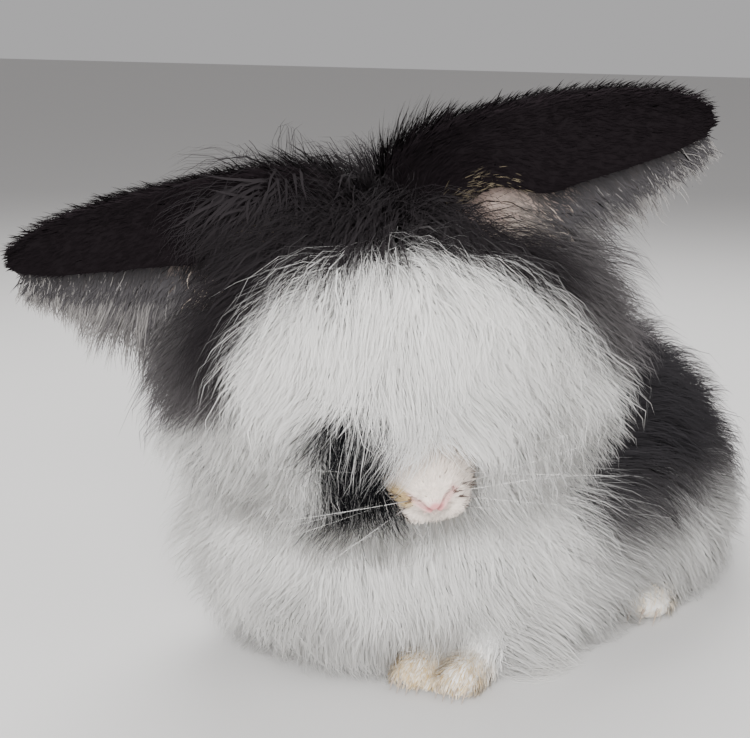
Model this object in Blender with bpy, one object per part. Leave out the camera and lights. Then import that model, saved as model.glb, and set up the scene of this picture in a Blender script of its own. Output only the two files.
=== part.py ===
"""Angora rabbit sitting at rest, life size, as a still model.

The animal faces -Y with its own left at +X and rests on z = 0. Its head is turned to its left, nods
and tilts. Sizes below are in millimetres and are scaled to metres when a mesh is made. The coat is
made of flat tapered locks over a core that reaches at most half way to their tips.
"""

import math
import random

import bmesh
import bpy
import numpy as np

# Units and the gap between touching parts
MM = 0.001
GAP = 0.3
SEED = 7

# Head: place of the nose tip and the three angles of the head, in degrees
NOSE_TIP = (31.0, -140.0, 88.5)
HEAD_TURN = 39.0
HEAD_NOD = 38.5
HEAD_TILT = 15.0
NOSE_REACH = 51.0

# Skull sections along the head: distance forward, half width, top and bottom
SKULL_SECTIONS = (
    (-42.0, 10.0, 12.0, -6.0),
    (-38.0, 16.5, 17.5, -12.0),
    (-28.0, 21.5, 23.0, -19.0),
    (-14.0, 24.0, 26.0, -24.0),
    (0.0, 24.5, 26.5, -26.0),
    (12.0, 22.5, 24.0, -26.0),
    (23.0, 18.5, 19.0, -24.5),
    (33.0, 15.0, 13.5, -21.5),
    (41.0, 12.8, 9.5, -17.0),
    (47.0, 9.5, 6.0, -11.5),
    (50.0, 5.5, 2.5, -6.5),
)

# Eyes and lids
EYE_RADIUS = 8.5
EYE_PLACE = (9.0, 17.5, 8.5)
LID_THICKNESS = 1.5
LID_RADIUS = 7.6
LID_OUT = 4.6
EYE_FACING = (0.20, 0.95, 0.22)

# Hollow in the wool in front of an eye: distance out from the eye's middle and radius
EYE_HOLLOW = ((-9.0, 9.0), (4.0, 11.5), (34.0, 21.0))

# Whisker pads, chin and nose: place and half sizes on the head's axes
MUZZLE_PADS = (
    ((43.5, 5.8, -8.5), (6.5, 6.6, 6.4)),
    ((43.5, -5.8, -8.5), (6.5, 6.6, 6.4)),
    ((37.0, 0.0, -17.5), (7.0, 6.5, 5.0)),
    ((49.0, 0.0, -1.5), (3.6, 5.2, 3.6)),
)

# Cleft below the nose, line of the mouth and nostril: middle lines and radii of their cutters
CLEFT_LINE = ((54.0, 0.0, -4.5), (54.0, 0.0, -13.5))
CLEFT_RADIUS = 4.2
MOUTH_LINE = ((52.0, 0.0, -13.0), (47.0, 6.0, -14.6), (38.0, 12.5, -13.4), (30.0, 17.0, -12.2))
MOUTH_RADII = (3.6, 4.0, 3.4, 2.0)
NOSTRIL_LINE = ((51.0, 0.8, -1.6), (50.4, 3.4, 0.2), (48.0, 6.0, 1.6))
NOSTRIL_RADII = (1.6, 1.9, 1.2)
FOLD_FLATNESS = 0.14
NOSTRIL_FLATNESS = 0.4

# Wool core of the head, reach of the head's coat and reach of the neck's ruff, as ellipsoids on the
# head's own axes: centre and half sizes (forward, left, up)
HEAD_CORE = ((-26.0, 0.0, 2.0), (42.0, 50.0, 45.0))
HEAD_REACH = ((-20.0, -3.0, 4.0), (75.0, 86.0, 68.0))
RUFF_REACH = ((-28.0, -6.0, -17.0), (86.0, 103.0, 66.0))

# Neck core: its two ends and radius
NECK_FOOT = (-8.0, -36.0, 62.0)
NECK_HEAD_END = (-14.0, 0.0, -10.0)
NECK_RADIUS = 47.0

# Torso sections from chest to rump: y, half width, top of the core, middle line's shift to the left
TORSO_SECTIONS = (
    (-91.0, 26.0, 44.0, -20.0),
    (-84.0, 44.0, 60.0, -19.0),
    (-68.0, 55.0, 82.0, -17.0),
    (-46.0, 58.0, 100.0, -12.0),
    (-18.0, 59.0, 113.0, -6.0),
    (12.0, 60.0, 116.0, -1.0),
    (44.0, 65.0, 110.0, 0.0),
    (74.0, 63.0, 96.0, 0.0),
    (98.0, 53.0, 78.0, 0.0),
    (114.0, 38.0, 60.0, 0.0),
    (122.0, 20.0, 46.0, 0.0),
)
BELLY_SINK = 9.0

# Haunch: centre and half sizes on the left side, and the reach of its coat
HAUNCH_CENTRE = (48.0, 42.0, 34.0)
HAUNCH_HALF = (29.0, 48.0, 38.0)
HAUNCH_REACH = (45.0, 62.0, 50.0)

# Hind foot on the left side: heel and toe end of its middle line, half width and height
HIND_HEEL = (55.0, 74.0)
HIND_TOE = (62.0, -8.0)
HIND_FOOT_HALF_WIDTH = 13.0
HIND_FOOT_HEIGHT = 19.0

# Forelegs: place of each paw's toe end, half width, height, and the elbow end on the chest
PAW_TOES = {"left": (22.5, -105.0), "right": (4.5, -106.5)}
PAW_HALF_WIDTH = 9.0
PAW_HEIGHT = 14.0
FORELEG_TOP = {"left": (21.0, -62.0, 38.0), "right": (-5.0, -62.0, 38.0)}
FORELEG_HALF_WIDTH = 10.5

# Tail: root, tip and half width
TAIL_ROOT = (0.0, 112.0, 30.0)
TAIL_TIP = (0.0, 131.0, 70.0)
TAIL_RADIUS = 11.0
TAIL_REACH = (21.0, 24.0, 42.0)

# Ears: root, bend and tip of the middle line on the head's axes
EAR_ROOT = {"left": (-42.0, 15.0, 32.0), "right": (-42.0, -15.0, 32.0)}
EAR_BEND = {"left": (-56.0, 42.0, 54.0), "right": (-56.0, -44.0, 50.0)}
EAR_TIP = {"left": (-62.0, 125.0, 34.0), "right": (-64.0, -131.0, 34.0)}

# Arch of the ears, open below: share of the length, half height, half depth, and the taller left ear
EAR_SECTIONS = (
    (0.0, 14.0, 11.0),
    (0.12, 18.0, 13.0),
    (0.25, 18.0, 12.0),
    (0.42, 17.0, 10.0),
    (0.6, 15.5, 9.0),
    (0.78, 13.5, 8.0),
    (0.9, 10.5, 6.5),
    (0.97, 6.5, 4.5),
    (1.0, 2.0, 1.6),
)
EAR_HEIGHT = {"left": 1.08, "right": 0.94}
EAR_LEAN = 12.0
EAR_REAR_DROP = 0.64
EAR_WALL = 2.2
EAR_RIM_WALL = 0.55
EAR_CLEARANCE = 0.7


def unit(vector):
    """Gives the vector at length one."""
    vector = np.asarray(vector, dtype=float)
    return vector / np.linalg.norm(vector)


def head_axes():
    """Gives the head's forward, left and up directions from its three angles."""
    turn, nod, tilt = (math.radians(a) for a in (HEAD_TURN, HEAD_NOD, -HEAD_TILT))
    about_z = np.array([[math.cos(turn), -math.sin(turn), 0.0], [math.sin(turn), math.cos(turn), 0.0],
                        [0.0, 0.0, 1.0]])
    about_x = np.array([[1.0, 0.0, 0.0], [0.0, math.cos(nod), -math.sin(nod)],
                        [0.0, math.sin(nod), math.cos(nod)]])
    about_y = np.array([[math.cos(tilt), 0.0, math.sin(tilt)], [0.0, 1.0, 0.0],
                        [-math.sin(tilt), 0.0, math.cos(tilt)]])
    turned = about_z @ about_x @ about_y
    return -turned[:, 1], turned[:, 0], turned[:, 2]


FORWARD, LEFT, UP = head_axes()
HEAD_FRAME = np.stack([FORWARD, LEFT, UP], axis=1)
SKULL_CENTRE = np.array(NOSE_TIP) - NOSE_REACH * FORWARD


def on_head(place):
    """Turns a place on the head's axes into one in the model."""
    return SKULL_CENTRE + HEAD_FRAME @ np.asarray(place, dtype=float)


class Ellipsoid:
    """An ellipsoid used as a core, a cutter or the reach of a coat."""

    def __init__(self, centre, half, frame=None):
        self.centre = np.asarray(centre, dtype=float)
        self.half = np.asarray(half, dtype=float)
        self.frame = np.eye(3) if frame is None else frame

    def grown(self, by):
        """Gives the same ellipsoid with longer half sizes."""
        return Ellipsoid(self.centre, self.half + by, self.frame)

    def level(self, place):
        """Tells how far out a place is: one on the surface, less inside it."""
        return float(np.linalg.norm(self.frame.T @ (place - self.centre) / self.half))

    def surface(self, direction):
        """Gives the surface point in a direction on the ellipsoid's axes, and its outward normal."""
        direction = unit(direction)
        flat = direction / np.linalg.norm(direction / self.half)
        normal = unit(flat / self.half**2)
        return self.centre + self.frame @ flat, self.frame @ normal

    def pulled(self, place, inside, margin):
        """Moves a place back inside the surface, or out of it, by the margin."""
        level = max(self.level(place), 1e-6)
        edge = 1.0 + (-margin if inside else margin) / float(self.half.mean())
        if inside and level > edge or not inside and level < edge:
            return self.centre + (place - self.centre) * edge / level
        return place

    def body(self, name, segments=32, rings=18):
        """Makes the closed mesh of the ellipsoid."""
        tops = [self.centre + self.frame @ (self.half * np.array([0.0, 0.0, s])) for s in (-1.0, 1.0)]
        loops = []
        for i in range(1, rings):
            polar = math.pi * i / rings - math.pi / 2.0
            loops.append([self.centre + self.frame @ (self.half * np.array(
                [math.cos(polar) * math.cos(a), math.cos(polar) * math.sin(a), math.sin(polar)]))
                for a in (2.0 * math.pi * k / segments for k in range(segments))])
        return loft(name, loops, tops)


def make_object(name, corners, faces):
    """Makes a mesh object in metres with its faces pointing out."""
    mesh = bpy.data.meshes.new(name)
    mesh.from_pydata([tuple(float(c) * MM for c in corner) for corner in corners], [], faces)
    shaped = bmesh.new()
    shaped.from_mesh(mesh)
    bmesh.ops.recalc_face_normals(shaped, faces=shaped.faces)
    if shaped.calc_volume(signed=True) < 0.0:
        bmesh.ops.reverse_faces(shaped, faces=shaped.faces)
    shaped.to_mesh(mesh)
    shaped.free()
    made = bpy.data.objects.new(name, mesh)
    bpy.context.scene.collection.objects.link(made)
    return made


def loft(name, loops, ends):
    """Closes a row of equal loops with a fan of triangles to a point at each end."""
    count = len(loops[0])
    corners = [p for loop in loops for p in loop] + list(ends)
    faces = []
    for i in range(len(loops) - 1):
        for k in range(count):
            j = (k + 1) % count
            faces.append((i * count + k, i * count + j, (i + 1) * count + j, (i + 1) * count + k))
    first, last = len(corners) - 2, len(corners) - 1
    base = (len(loops) - 1) * count
    for k in range(count):
        j = (k + 1) % count
        faces.append((first, j, k))
        faces.append((last, base + k, base + j))
    return make_object(name, corners, faces)


def largest_surface(mesh):
    """Keeps only the closed surface of the greatest extent in a mesh."""
    shaped = bmesh.new()
    shaped.from_mesh(mesh)
    shaped.faces.ensure_lookup_table()
    groups = []
    seen = set()
    for face in shaped.faces:
        if face.index in seen:
            continue
        stack = [face]
        seen.add(face.index)
        group = []
        while stack:
            current = stack.pop()
            group.append(current)
            for edge in current.edges:
                if len(edge.link_faces) != 2:
                    continue
                for other in edge.link_faces:
                    if other.index not in seen:
                        seen.add(other.index)
                        stack.append(other)
        groups.append(group)
    groups.sort(key=lambda g: sum(f.calc_area() for f in g), reverse=True)
    for group in groups[1:]:
        bmesh.ops.delete(shaped, geom=group, context="FACES")
    shaped.to_mesh(mesh)
    shaped.free()


def combine(base, others, operation, whole=True):
    """Runs one Boolean of the base with a collection of closed objects and applies it."""
    if not others:
        return base
    group = bpy.data.collections.new("pieces")
    bpy.context.scene.collection.children.link(group)
    for other in others:
        bpy.context.scene.collection.objects.unlink(other)
        group.objects.link(other)
    boolean = base.modifiers.new("boolean", "BOOLEAN")
    boolean.operation = operation
    boolean.operand_type = "COLLECTION"
    boolean.collection = group
    boolean.solver = "MANIFOLD"
    view = bpy.context.evaluated_depsgraph_get()
    mesh = bpy.data.meshes.new_from_object(base.evaluated_get(view))
    base.modifiers.clear()
    base.data = mesh
    for other in list(group.objects):
        bpy.data.objects.remove(other)
    bpy.data.collections.remove(group)
    if whole:
        largest_surface(base.data)
    return base


def add_locks(node, locks, cutters, keep_in=None):
    """Joins the locks, trims them clear of the neighbours and joins them to their node."""
    coat = combine(locks[0], locks[1:], "UNION", whole=False)
    if keep_in:
        combine(coat, [keep_in], "INTERSECT", whole=False)
    combine(coat, cutters + [floor_cutter()], "DIFFERENCE", whole=False)
    return combine(node, [coat], "UNION")


def floor_cutter():
    """Makes the slab below the floor that flattens what rests on it."""
    wide, deep = 400.0, 60.0
    corners = [(x, y, z) for z in (-deep, 0.0) for x, y in
               ((-wide, -wide), (wide, -wide), (wide, wide), (-wide, wide))]
    faces = [(0, 3, 2, 1), (4, 5, 6, 7), (0, 1, 5, 4), (1, 2, 6, 5), (2, 3, 7, 6), (3, 0, 4, 7)]
    return make_object("floor_cutter", corners, faces)


class Reach:
    """The space that a node's locks keep to: inside some ellipsoids, outside others, off the floor."""

    def __init__(self, inside=(), outside=(), tubes=(), floor=1.5):
        self.inside = inside
        self.outside = outside
        self.tubes = tubes
        self.floor = floor

    def holds(self, place):
        """Tells whether a lock may be rooted at a place."""
        return (all(e.level(place) < 1.0 for e in self.inside)
                and all(e.level(place) > 1.0 for e in self.outside)
                and all(tube_distance(place, t)[0] > t[2] for t in self.tubes)
                and place[2] > self.floor)

    def bent(self, place, margin):
        """Moves a point of a lock's middle line back into the space."""
        for tube in self.tubes:
            apart, nearest = tube_distance(place, tube)
            if apart < tube[2] + margin:
                place = nearest + unit(place - nearest) * (tube[2] + margin)
        for ellipsoid in self.outside:
            place = ellipsoid.pulled(place, False, margin)
        for ellipsoid in self.inside:
            place = ellipsoid.pulled(place, True, margin)
        place = place.copy()
        place[2] = max(place[2], self.floor + margin)
        return place


def tube_distance(place, tube):
    """Gives the distance from a straight tube's middle line and the nearest point of that line."""
    start, end = np.asarray(tube[0]), np.asarray(tube[1])
    along = end - start
    share = float(np.clip((place - start) @ along / (along @ along), 0.0, 1.0))
    nearest = start + share * along
    return float(np.linalg.norm(place - nearest)), nearest


LOCK_STEPS = (0.0, 0.32, 0.66, 1.0)
LOCK_WIDTHS = (0.7, 1.0, 0.74)
LOCK_THICKNESS = (1.0, 0.85, 0.5)
LOCK_SINK = 7.0
LOCK_THICK = 6.5


def lock(name, root, normal, lie, length, width, thickness, lift, curl, reach, margin, sunk=None):
    """Makes one flat tapered lock that leaves the core and bends over along the lie of the coat."""
    side = unit(np.cross(normal, lie))
    lie = unit(np.cross(side, normal))
    place = root - (normal if sunk is None else sunk) * LOCK_SINK
    spine = [place]
    for i in range(1, len(LOCK_STEPS)):
        share = (LOCK_STEPS[i - 1] + LOCK_STEPS[i]) / 2.0
        angle = math.radians(lift * (1.0 - share) - 12.0 * share)
        step = (LOCK_STEPS[i] - LOCK_STEPS[i - 1]) * (length + LOCK_SINK)
        heading = lie * math.cos(angle) + normal * math.sin(angle) + side * curl * share
        place = place + unit(heading) * step
        spine.append(place)
    spine = [spine[0]] + [reach.bent(p, margin) for p in spine[1:]]
    loops = []
    for i, (wide, thick) in enumerate(zip(LOCK_WIDTHS, LOCK_THICKNESS)):
        along = unit(spine[i + 1] - spine[max(i - 1, 0)])
        across = unit(side - along * (side @ along))
        out = np.cross(across, along)
        half_wide, half_thick = wide * width / 2.0, thick * thickness / 2.0
        centre = spine[i]
        loops.append([centre + across * half_wide - out * half_thick, centre + out * half_thick,
                      centre - across * half_wide - out * half_thick])
    return loft(name, loops, [spine[0] - unit(spine[1] - spine[0]) * 0.5, spine[-1]])


def torso_section(y, grown=0.0):
    """Gives half width, middle height, half height and sideways shift of the torso core at y."""
    ys = [s[0] for s in TORSO_SECTIONS]
    half = float(np.interp(y, ys, [s[1] for s in TORSO_SECTIONS])) + grown
    top = float(np.interp(y, ys, [s[2] for s in TORSO_SECTIONS])) + grown
    low = -BELLY_SINK - grown
    shift = float(np.interp(y, ys, [s[3] for s in TORSO_SECTIONS]))
    return half, (top + low) / 2.0, (top - low) / 2.0, shift


def torso_point(y, angle):
    """Gives a point on the torso core and its outward normal, by distance back and angle round."""
    def place(at_y, at_angle):
        half, middle, high, shift = torso_section(at_y)
        return np.array([shift + half * math.cos(at_angle), at_y, middle + high * math.sin(at_angle)])
    step = 2.0
    along = place(y + step, angle) - place(y - step, angle)
    around = place(y, angle + 0.03) - place(y, angle - 0.03)
    return place(y, angle), unit(np.cross(along, around))


TORSO_RING_SIDES = 24


def torso_core(name, grown=0.0):
    """Makes the torso's core as a loft of its sections, grown all round when it is a cutter."""
    loops = []
    middle_y = (TORSO_SECTIONS[0][0] + TORSO_SECTIONS[-1][0]) / 2.0
    for y, _, _, _ in TORSO_SECTIONS:
        half, middle, high, shift = torso_section(y, 1.3 * grown)
        back = y + 2.0 * grown * (y - middle_y) / (TORSO_SECTIONS[-1][0] - middle_y)
        loops.append([(shift + half * math.cos(a), back, middle + high * math.sin(a))
                      for a in (2.0 * math.pi * k / TORSO_RING_SIDES for k in range(TORSO_RING_SIDES))])
    first, last = TORSO_SECTIONS[0], TORSO_SECTIONS[-1]
    ends = [(first[3], first[0] - 5.0 - 3.0 * grown, torso_section(first[0])[1]),
            (last[3], last[0] + 5.0 + 3.0 * grown, torso_section(last[0])[1])]
    return loft(name, loops, ends)


def tube(name, path, radii, flat=1.0, sides=14, up=(0.0, 0.0, 1.0)):
    """Makes a closed tube of elliptic sections along a path, with rounded ends."""
    path = [np.asarray(p, dtype=float) for p in path]
    loops = []
    for i, (place, radius) in enumerate(zip(path, radii)):
        along = unit(path[min(i + 1, len(path) - 1)] - path[max(i - 1, 0)])
        across = unit(np.cross(along, up))
        out = np.cross(across, along)
        loops.append([place + across * radius * math.cos(a) + out * radius * flat * math.sin(a)
                      for a in (2.0 * math.pi * k / sides for k in range(sides))])
    start = path[0] - unit(path[1] - path[0]) * radii[0] * 0.35
    end = path[-1] + unit(path[-1] - path[-2]) * radii[-1] * 0.35
    return loft(name, loops, [start, end])


def skull_body():
    """Makes the skull with cheeks and muzzle as a loft along the head."""
    sides = 20
    loops = []
    for forward, half, top, bottom in SKULL_SECTIONS:
        middle, high = (top + bottom) / 2.0, (top - bottom) / 2.0
        loops.append([on_head((forward, half * math.cos(a), middle + high * math.sin(a)))
                      for a in (2.0 * math.pi * k / sides for k in range(sides))])
    first, last = SKULL_SECTIONS[0], SKULL_SECTIONS[-1]
    ends = [on_head((first[0] - 2.0, 0.0, (first[2] + first[3]) / 2.0)),
            on_head((NOSE_REACH, 0.0, (last[2] + last[3]) / 2.0))]
    return loft("skull", loops, ends)


def eye_place(side):
    """Gives the middle of an eyeball."""
    sign = 1.0 if side == "left" else -1.0
    return on_head((EYE_PLACE[0], sign * EYE_PLACE[1], EYE_PLACE[2]))


def eye_axis(side):
    """Gives the direction in which an eye looks out of the head."""
    sign = 1.0 if side == "left" else -1.0
    return unit(HEAD_FRAME @ (np.array(EYE_FACING) * (1.0, sign, 1.0)))


def lids(side):
    """Makes the ring of both lids round an eye, drawn out to an almond."""
    axis = eye_axis(side)
    forward = unit(FORWARD - axis * (FORWARD @ axis))
    upward = np.cross(axis, forward) * (1.0 if side == "right" else -1.0)
    centre = eye_place(side) + axis * LID_OUT
    around, section = 16, 5
    corners, faces = [], []
    for i in range(around):
        turn = 2.0 * math.pi * i / around
        spoke = forward * math.cos(turn) * 1.12 + upward * math.sin(turn) * 0.93
        for k in range(section):
            roll = 2.0 * math.pi * k / section
            radius = LID_RADIUS + LID_THICKNESS * math.cos(roll)
            corners.append(centre + spoke * radius + axis * LID_THICKNESS * 1.5 * math.sin(roll))
    for i in range(around):
        for k in range(section):
            j, m = (i + 1) % around, (k + 1) % section
            faces.append((i * section + k, j * section + k, j * section + m, i * section + m))
    return make_object("lids_" + side, corners, faces)


def head_node():
    """Makes the head: skull, muzzle with lips and nostrils, lids, wool core and locks."""
    core = head_core()
    hollows = []
    for side in ("left", "right"):
        axis = eye_axis(side)
        centre = eye_place(side)
        path = [centre + axis * along for along, _ in EYE_HOLLOW]
        hollows.append(tube("hollow_" + side, path, [radius for _, radius in EYE_HOLLOW], up=UP))
    core = combine(core.body("head", 24, 14), hollows, "DIFFERENCE")
    neck_stub = combine(neck_core("neck_stub"), [head_reach().body("reach", 24, 16)], "INTERSECT")
    combine(neck_stub, [ear_body("ear_cutter", s, EAR_CLEARANCE) for s in ("left", "right")], "DIFFERENCE")
    solids = [skull_body(), neck_stub, lids("left"), lids("right")]
    for place, half in MUZZLE_PADS:
        solids.append(Ellipsoid(on_head(place), half, HEAD_FRAME).body("pad", 12, 8))
    combine(core, solids, "UNION")
    cuts = [Ellipsoid(eye_place(s), [EYE_RADIUS + GAP] * 3, HEAD_FRAME).body("socket", 16, 10)
            for s in ("left", "right")]
    cuts += mouth_cutters()
    combine(core, cuts, "DIFFERENCE")
    ears = [ear_body("ear_cutter", s, EAR_CLEARANCE) for s in ("left", "right")]
    clear = [Ellipsoid(eye_place(s), [EYE_RADIUS + 1.5] * 3, HEAD_FRAME).body("clear", 16, 10)
             for s in ("left", "right")]
    return add_locks(core, head_locks(), ears + clear, head_reach().body("reach", 24, 16))


def mouth_cutters():
    """Makes the cutters of the cleft below the nose, the line of the mouth and the nostrils."""
    cleft = [on_head(place) for place in CLEFT_LINE]
    cutters = [tube("cleft", cleft, [CLEFT_RADIUS] * 2, flat=FOLD_FLATNESS, sides=10, up=LEFT)]
    for sign in (1.0, -1.0):
        mouth = [on_head(np.array(place) * (1.0, sign, 1.0)) for place in MOUTH_LINE]
        cutters.append(tube("mouth", mouth, MOUTH_RADII, flat=FOLD_FLATNESS, sides=10, up=UP))
        slit = [on_head(np.array(place) * (1.0, sign, 1.0)) for place in NOSTRIL_LINE]
        cutters.append(tube("nostril", slit, NOSTRIL_RADII, flat=NOSTRIL_FLATNESS, sides=8, up=UP))
    return cutters


def head_core():
    """Gives the wool core of the head as an ellipsoid."""
    return Ellipsoid(on_head(HEAD_CORE[0]), HEAD_CORE[1], HEAD_FRAME)


def head_reach():
    """Gives the reach of the head's coat as an ellipsoid."""
    return Ellipsoid(on_head(HEAD_REACH[0]), HEAD_REACH[1], HEAD_FRAME)


def ruff_reach():
    """Gives the reach of the ruff as an ellipsoid."""
    return Ellipsoid(on_head(RUFF_REACH[0]), RUFF_REACH[1], HEAD_FRAME)


def neck_core(name):
    """Makes the neck's core from inside the torso to inside the head."""
    top = on_head(NECK_HEAD_END)
    foot = np.array(NECK_FOOT)
    path = [foot + (top - foot) * share for share in (0.0, 0.25, 0.5, 0.75, 1.0)]
    radii = [NECK_RADIUS * r for r in (0.9, 1.0, 1.0, 0.96, 0.8)]
    return tube(name, path, radii, sides=20)


EAR_ROOM = 13.0


def ear_tubes():
    """Gives the straight tubes that keep the locks of the head clear of both ears."""
    tubes = []
    for side in ("left", "right"):
        places = [ear_line(side, share) for share in (0.0, 0.2, 0.45, 1.0)]
        tubes += [(a, b, EAR_ROOM) for a, b in zip(places, places[1:])]
    return tubes


HEAD_LOCKS = 42
HEAD_LOCK_LENGTH = 62.0
HEAD_LOCK_WIDTH = 34.0
HEAD_LIFT = 66.0
CROWN_LOCKS = 7
CROWN_LOCK_LENGTH = 46.0
CROWN_LOCK_WIDTH = 24.0
CROWN_LIFT = 84.0


def head_locks():
    """Makes the locks of crown, forehead, cheeks and nape round the head's core."""
    rng = random.Random(SEED)
    core = head_core()
    eyes = [Ellipsoid(eye_place(s), [EYE_RADIUS + 2.0] * 3, HEAD_FRAME) for s in ("left", "right")]
    reach = Reach([head_reach()], eyes, ear_tubes(), 2.0)
    golden = math.pi * (3.0 - math.sqrt(5.0))
    made = []
    for i in range(HEAD_LOCKS):
        height = 1.0 - 2.0 * (i + 0.5) / HEAD_LOCKS
        ring = math.sqrt(1.0 - height * height)
        turn = golden * i + rng.uniform(-0.12, 0.12)
        direction = np.array([ring * math.cos(turn), ring * math.sin(turn), height])
        root, normal = core.surface(direction)
        muzzle = direction[0] > 0.76 and abs(direction[1]) < 0.4 and -0.6 < direction[2] < 0.25
        if muzzle or direction[2] < -0.86:
            continue
        if not reach.holds(root):
            continue
        crown = direction[2] > 0.55
        from_crown = direction - np.array([-0.35, 0.0, 0.94])
        from_muzzle = direction - np.array([1.0, 0.0, -0.1])
        share = 1.0 / (1.0 + math.exp(-9.0 * (direction[2] - 0.05)))
        lie = HEAD_FRAME @ (share * unit(from_crown) + (1.0 - share) * unit(from_muzzle))
        lie = lie - normal * (lie @ normal)
        made.append(lock("lock", root, normal, lie, HEAD_LOCK_LENGTH * rng.uniform(0.85, 1.12),
                         HEAD_LOCK_WIDTH * rng.uniform(0.85, 1.15), LOCK_THICK,
                         CROWN_LIFT if crown else HEAD_LIFT, rng.uniform(-0.25, 0.25), reach, 4.0))
    for turn in range(0, 360, 360 // CROWN_LOCKS):
        spoke = np.array([math.cos(math.radians(turn)), math.sin(math.radians(turn)), 0.0])
        root, normal = core.surface(np.array([-0.35, 0.0, 1.0]) + 0.32 * spoke)
        made.append(lock("lock", root, normal, HEAD_FRAME @ spoke, CROWN_LOCK_LENGTH * rng.uniform(0.9, 1.1),
                         CROWN_LOCK_WIDTH, LOCK_THICK, CROWN_LIFT + 4.0, rng.uniform(-0.3, 0.3), reach, 3.0))
    return made


NECK_LOCKS = 16
NECK_LOCK_LENGTH = 104.0
NECK_LOCK_WIDTH = 38.0
NECK_LOCK_RING = 46.0
NECK_LOCK_RISE = 0.22


def neck_node():
    """Makes the neck with the ruff of locks round it, between the head and the torso."""
    node = neck_core("neck")
    combine(node, [ruff_reach().body("reach", 24, 16)], "INTERSECT")
    combine(node, [head_reach().grown(GAP).body("reach", 24, 16)], "DIFFERENCE")
    rng = random.Random(SEED + 1)
    reach = Reach([ruff_reach()], [head_reach()], ear_tubes(), 2.0)
    made = []
    inner, outer = head_reach(), ruff_reach()
    for k in range(NECK_LOCKS):
        turn = 2.0 * math.pi * (k + rng.uniform(-0.12, 0.12)) / NECK_LOCKS
        spoke = np.array([math.cos(turn), math.sin(turn), 0.0])
        low = between_reaches(inner, outer, NECK_LOCK_RING * spoke)
        rise = NECK_LOCK_RISE * abs(spoke[1])
        lie = unit(HEAD_FRAME @ (spoke + np.array([0.0, 0.0, rise])))
        length = NECK_LOCK_LENGTH * (1.0 + 0.3 * min(0.0, spoke[0]))
        made.append(lock("lock", low, -UP, lie, length, NECK_LOCK_WIDTH * rng.uniform(0.9, 1.1), LOCK_THICK,
                         8.0, rng.uniform(-0.2, 0.2), reach, 4.5, sunk=lie))
    cuts = [head_reach().grown(GAP).body("reach", 24, 16)]
    cuts += [ear_body("ear_cutter", s, EAR_CLEARANCE) for s in ("left", "right")]
    return add_locks(node, made, cuts, ruff_reach().body("reach", 24, 16))


def between_reaches(inner, outer, ring):
    """Gives the place half way between two reaches below the head, at a place on the ring."""
    lows = []
    for ellipsoid, centre in ((inner, HEAD_REACH[0]), (outer, RUFF_REACH[0])):
        flat = (ring - np.array([centre[0], centre[1], 0.0])) / ellipsoid.half
        lows.append(centre[2] - ellipsoid.half[2] * math.sqrt(1.0 - flat[0] ** 2 - flat[1] ** 2))
    return on_head((ring[0], ring[1], (lows[0] + lows[1]) / 2.0))


def haunch(side, grown=0.0, reach=False):
    """Gives the ellipsoid of a haunch or of the reach of its coat."""
    sign = 1.0 if side == "left" else -1.0
    centre = np.array(HAUNCH_CENTRE) * np.array([sign, 1.0, 1.0])
    return Ellipsoid(centre, np.array(HAUNCH_REACH if reach else HAUNCH_HALF) + grown)


def hind_foot(side, grown=0.0):
    """Makes the long hind foot with its rounded toe end."""
    sign = 1.0 if side == "left" else -1.0
    heel = np.array([sign * HIND_HEEL[0], HIND_HEEL[1], HIND_FOOT_HEIGHT * 0.42])
    toe = np.array([sign * HIND_TOE[0], HIND_TOE[1], HIND_FOOT_HEIGHT * 0.36])
    path = [heel + (toe - heel) * s for s in (0.0, 0.08, 0.3, 0.6, 0.85, 0.96, 1.0)]
    radii = [HIND_FOOT_HALF_WIDTH * r + grown for r in (0.5, 0.8, 0.85, 0.95, 1.0, 0.8, 0.5)]
    return tube("foot", path, radii, flat=0.8, sides=16)


def torso_node():
    """Makes the torso with chest, back and belly, cut clear of neck, legs and tail."""
    node = torso_core("torso")
    cuts = [ruff_reach().grown(GAP).body("reach", 24, 16), floor_cutter()]
    for side in ("left", "right"):
        cuts.append(haunch(side, GAP).body("haunch", 18, 12))
        cuts.append(hind_foot(side, GAP))
    combine(node, cuts, "DIFFERENCE")
    cuts = [ruff_reach().grown(GAP).body("reach", 24, 16), tail_reach().grown(GAP).body("reach", 20, 14)]
    for side in ("left", "right"):
        cuts.append(haunch(side, GAP, reach=True).body("haunch", 18, 12))
        cuts.append(foreleg_body("foreleg_cutter", side, GAP))
        cuts.append(hind_foot(side, GAP))
    return add_locks(node, torso_locks(), cuts)


TORSO_TIERS = (-91.0, -84.0, -66.0, -42.0, -16.0, 10.0, 36.0, 62.0, 86.0, 106.0, 119.0)
CHEST_BACK = -60.0
TORSO_LOCK_SPACING = 37.0
TORSO_LOCK_WIDTH = 38.0
CHEST_LOCK_LENGTH = 66.0
CHEST_LIFT = 66.0
PAW_LOCK_LENGTH = 50.0
PAW_OPENING = 17.0
BACK_LOCK_LENGTH = 58.0
BACK_LIFT = 58.0
CHEST_REACH = ((-22.0, -72.0, 50.0), (88.0, 60.0, 62.0))
CHEST_TURN = 27.0


def chest_reach():
    """Gives the reach of the wool that hangs from the chest, turned with the head."""
    turn = math.radians(CHEST_TURN)
    frame = np.array([[math.cos(turn), -math.sin(turn), 0.0], [math.sin(turn), math.cos(turn), 0.0],
                      [0.0, 0.0, 1.0]])
    return Ellipsoid(CHEST_REACH[0], CHEST_REACH[1], frame)


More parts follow.
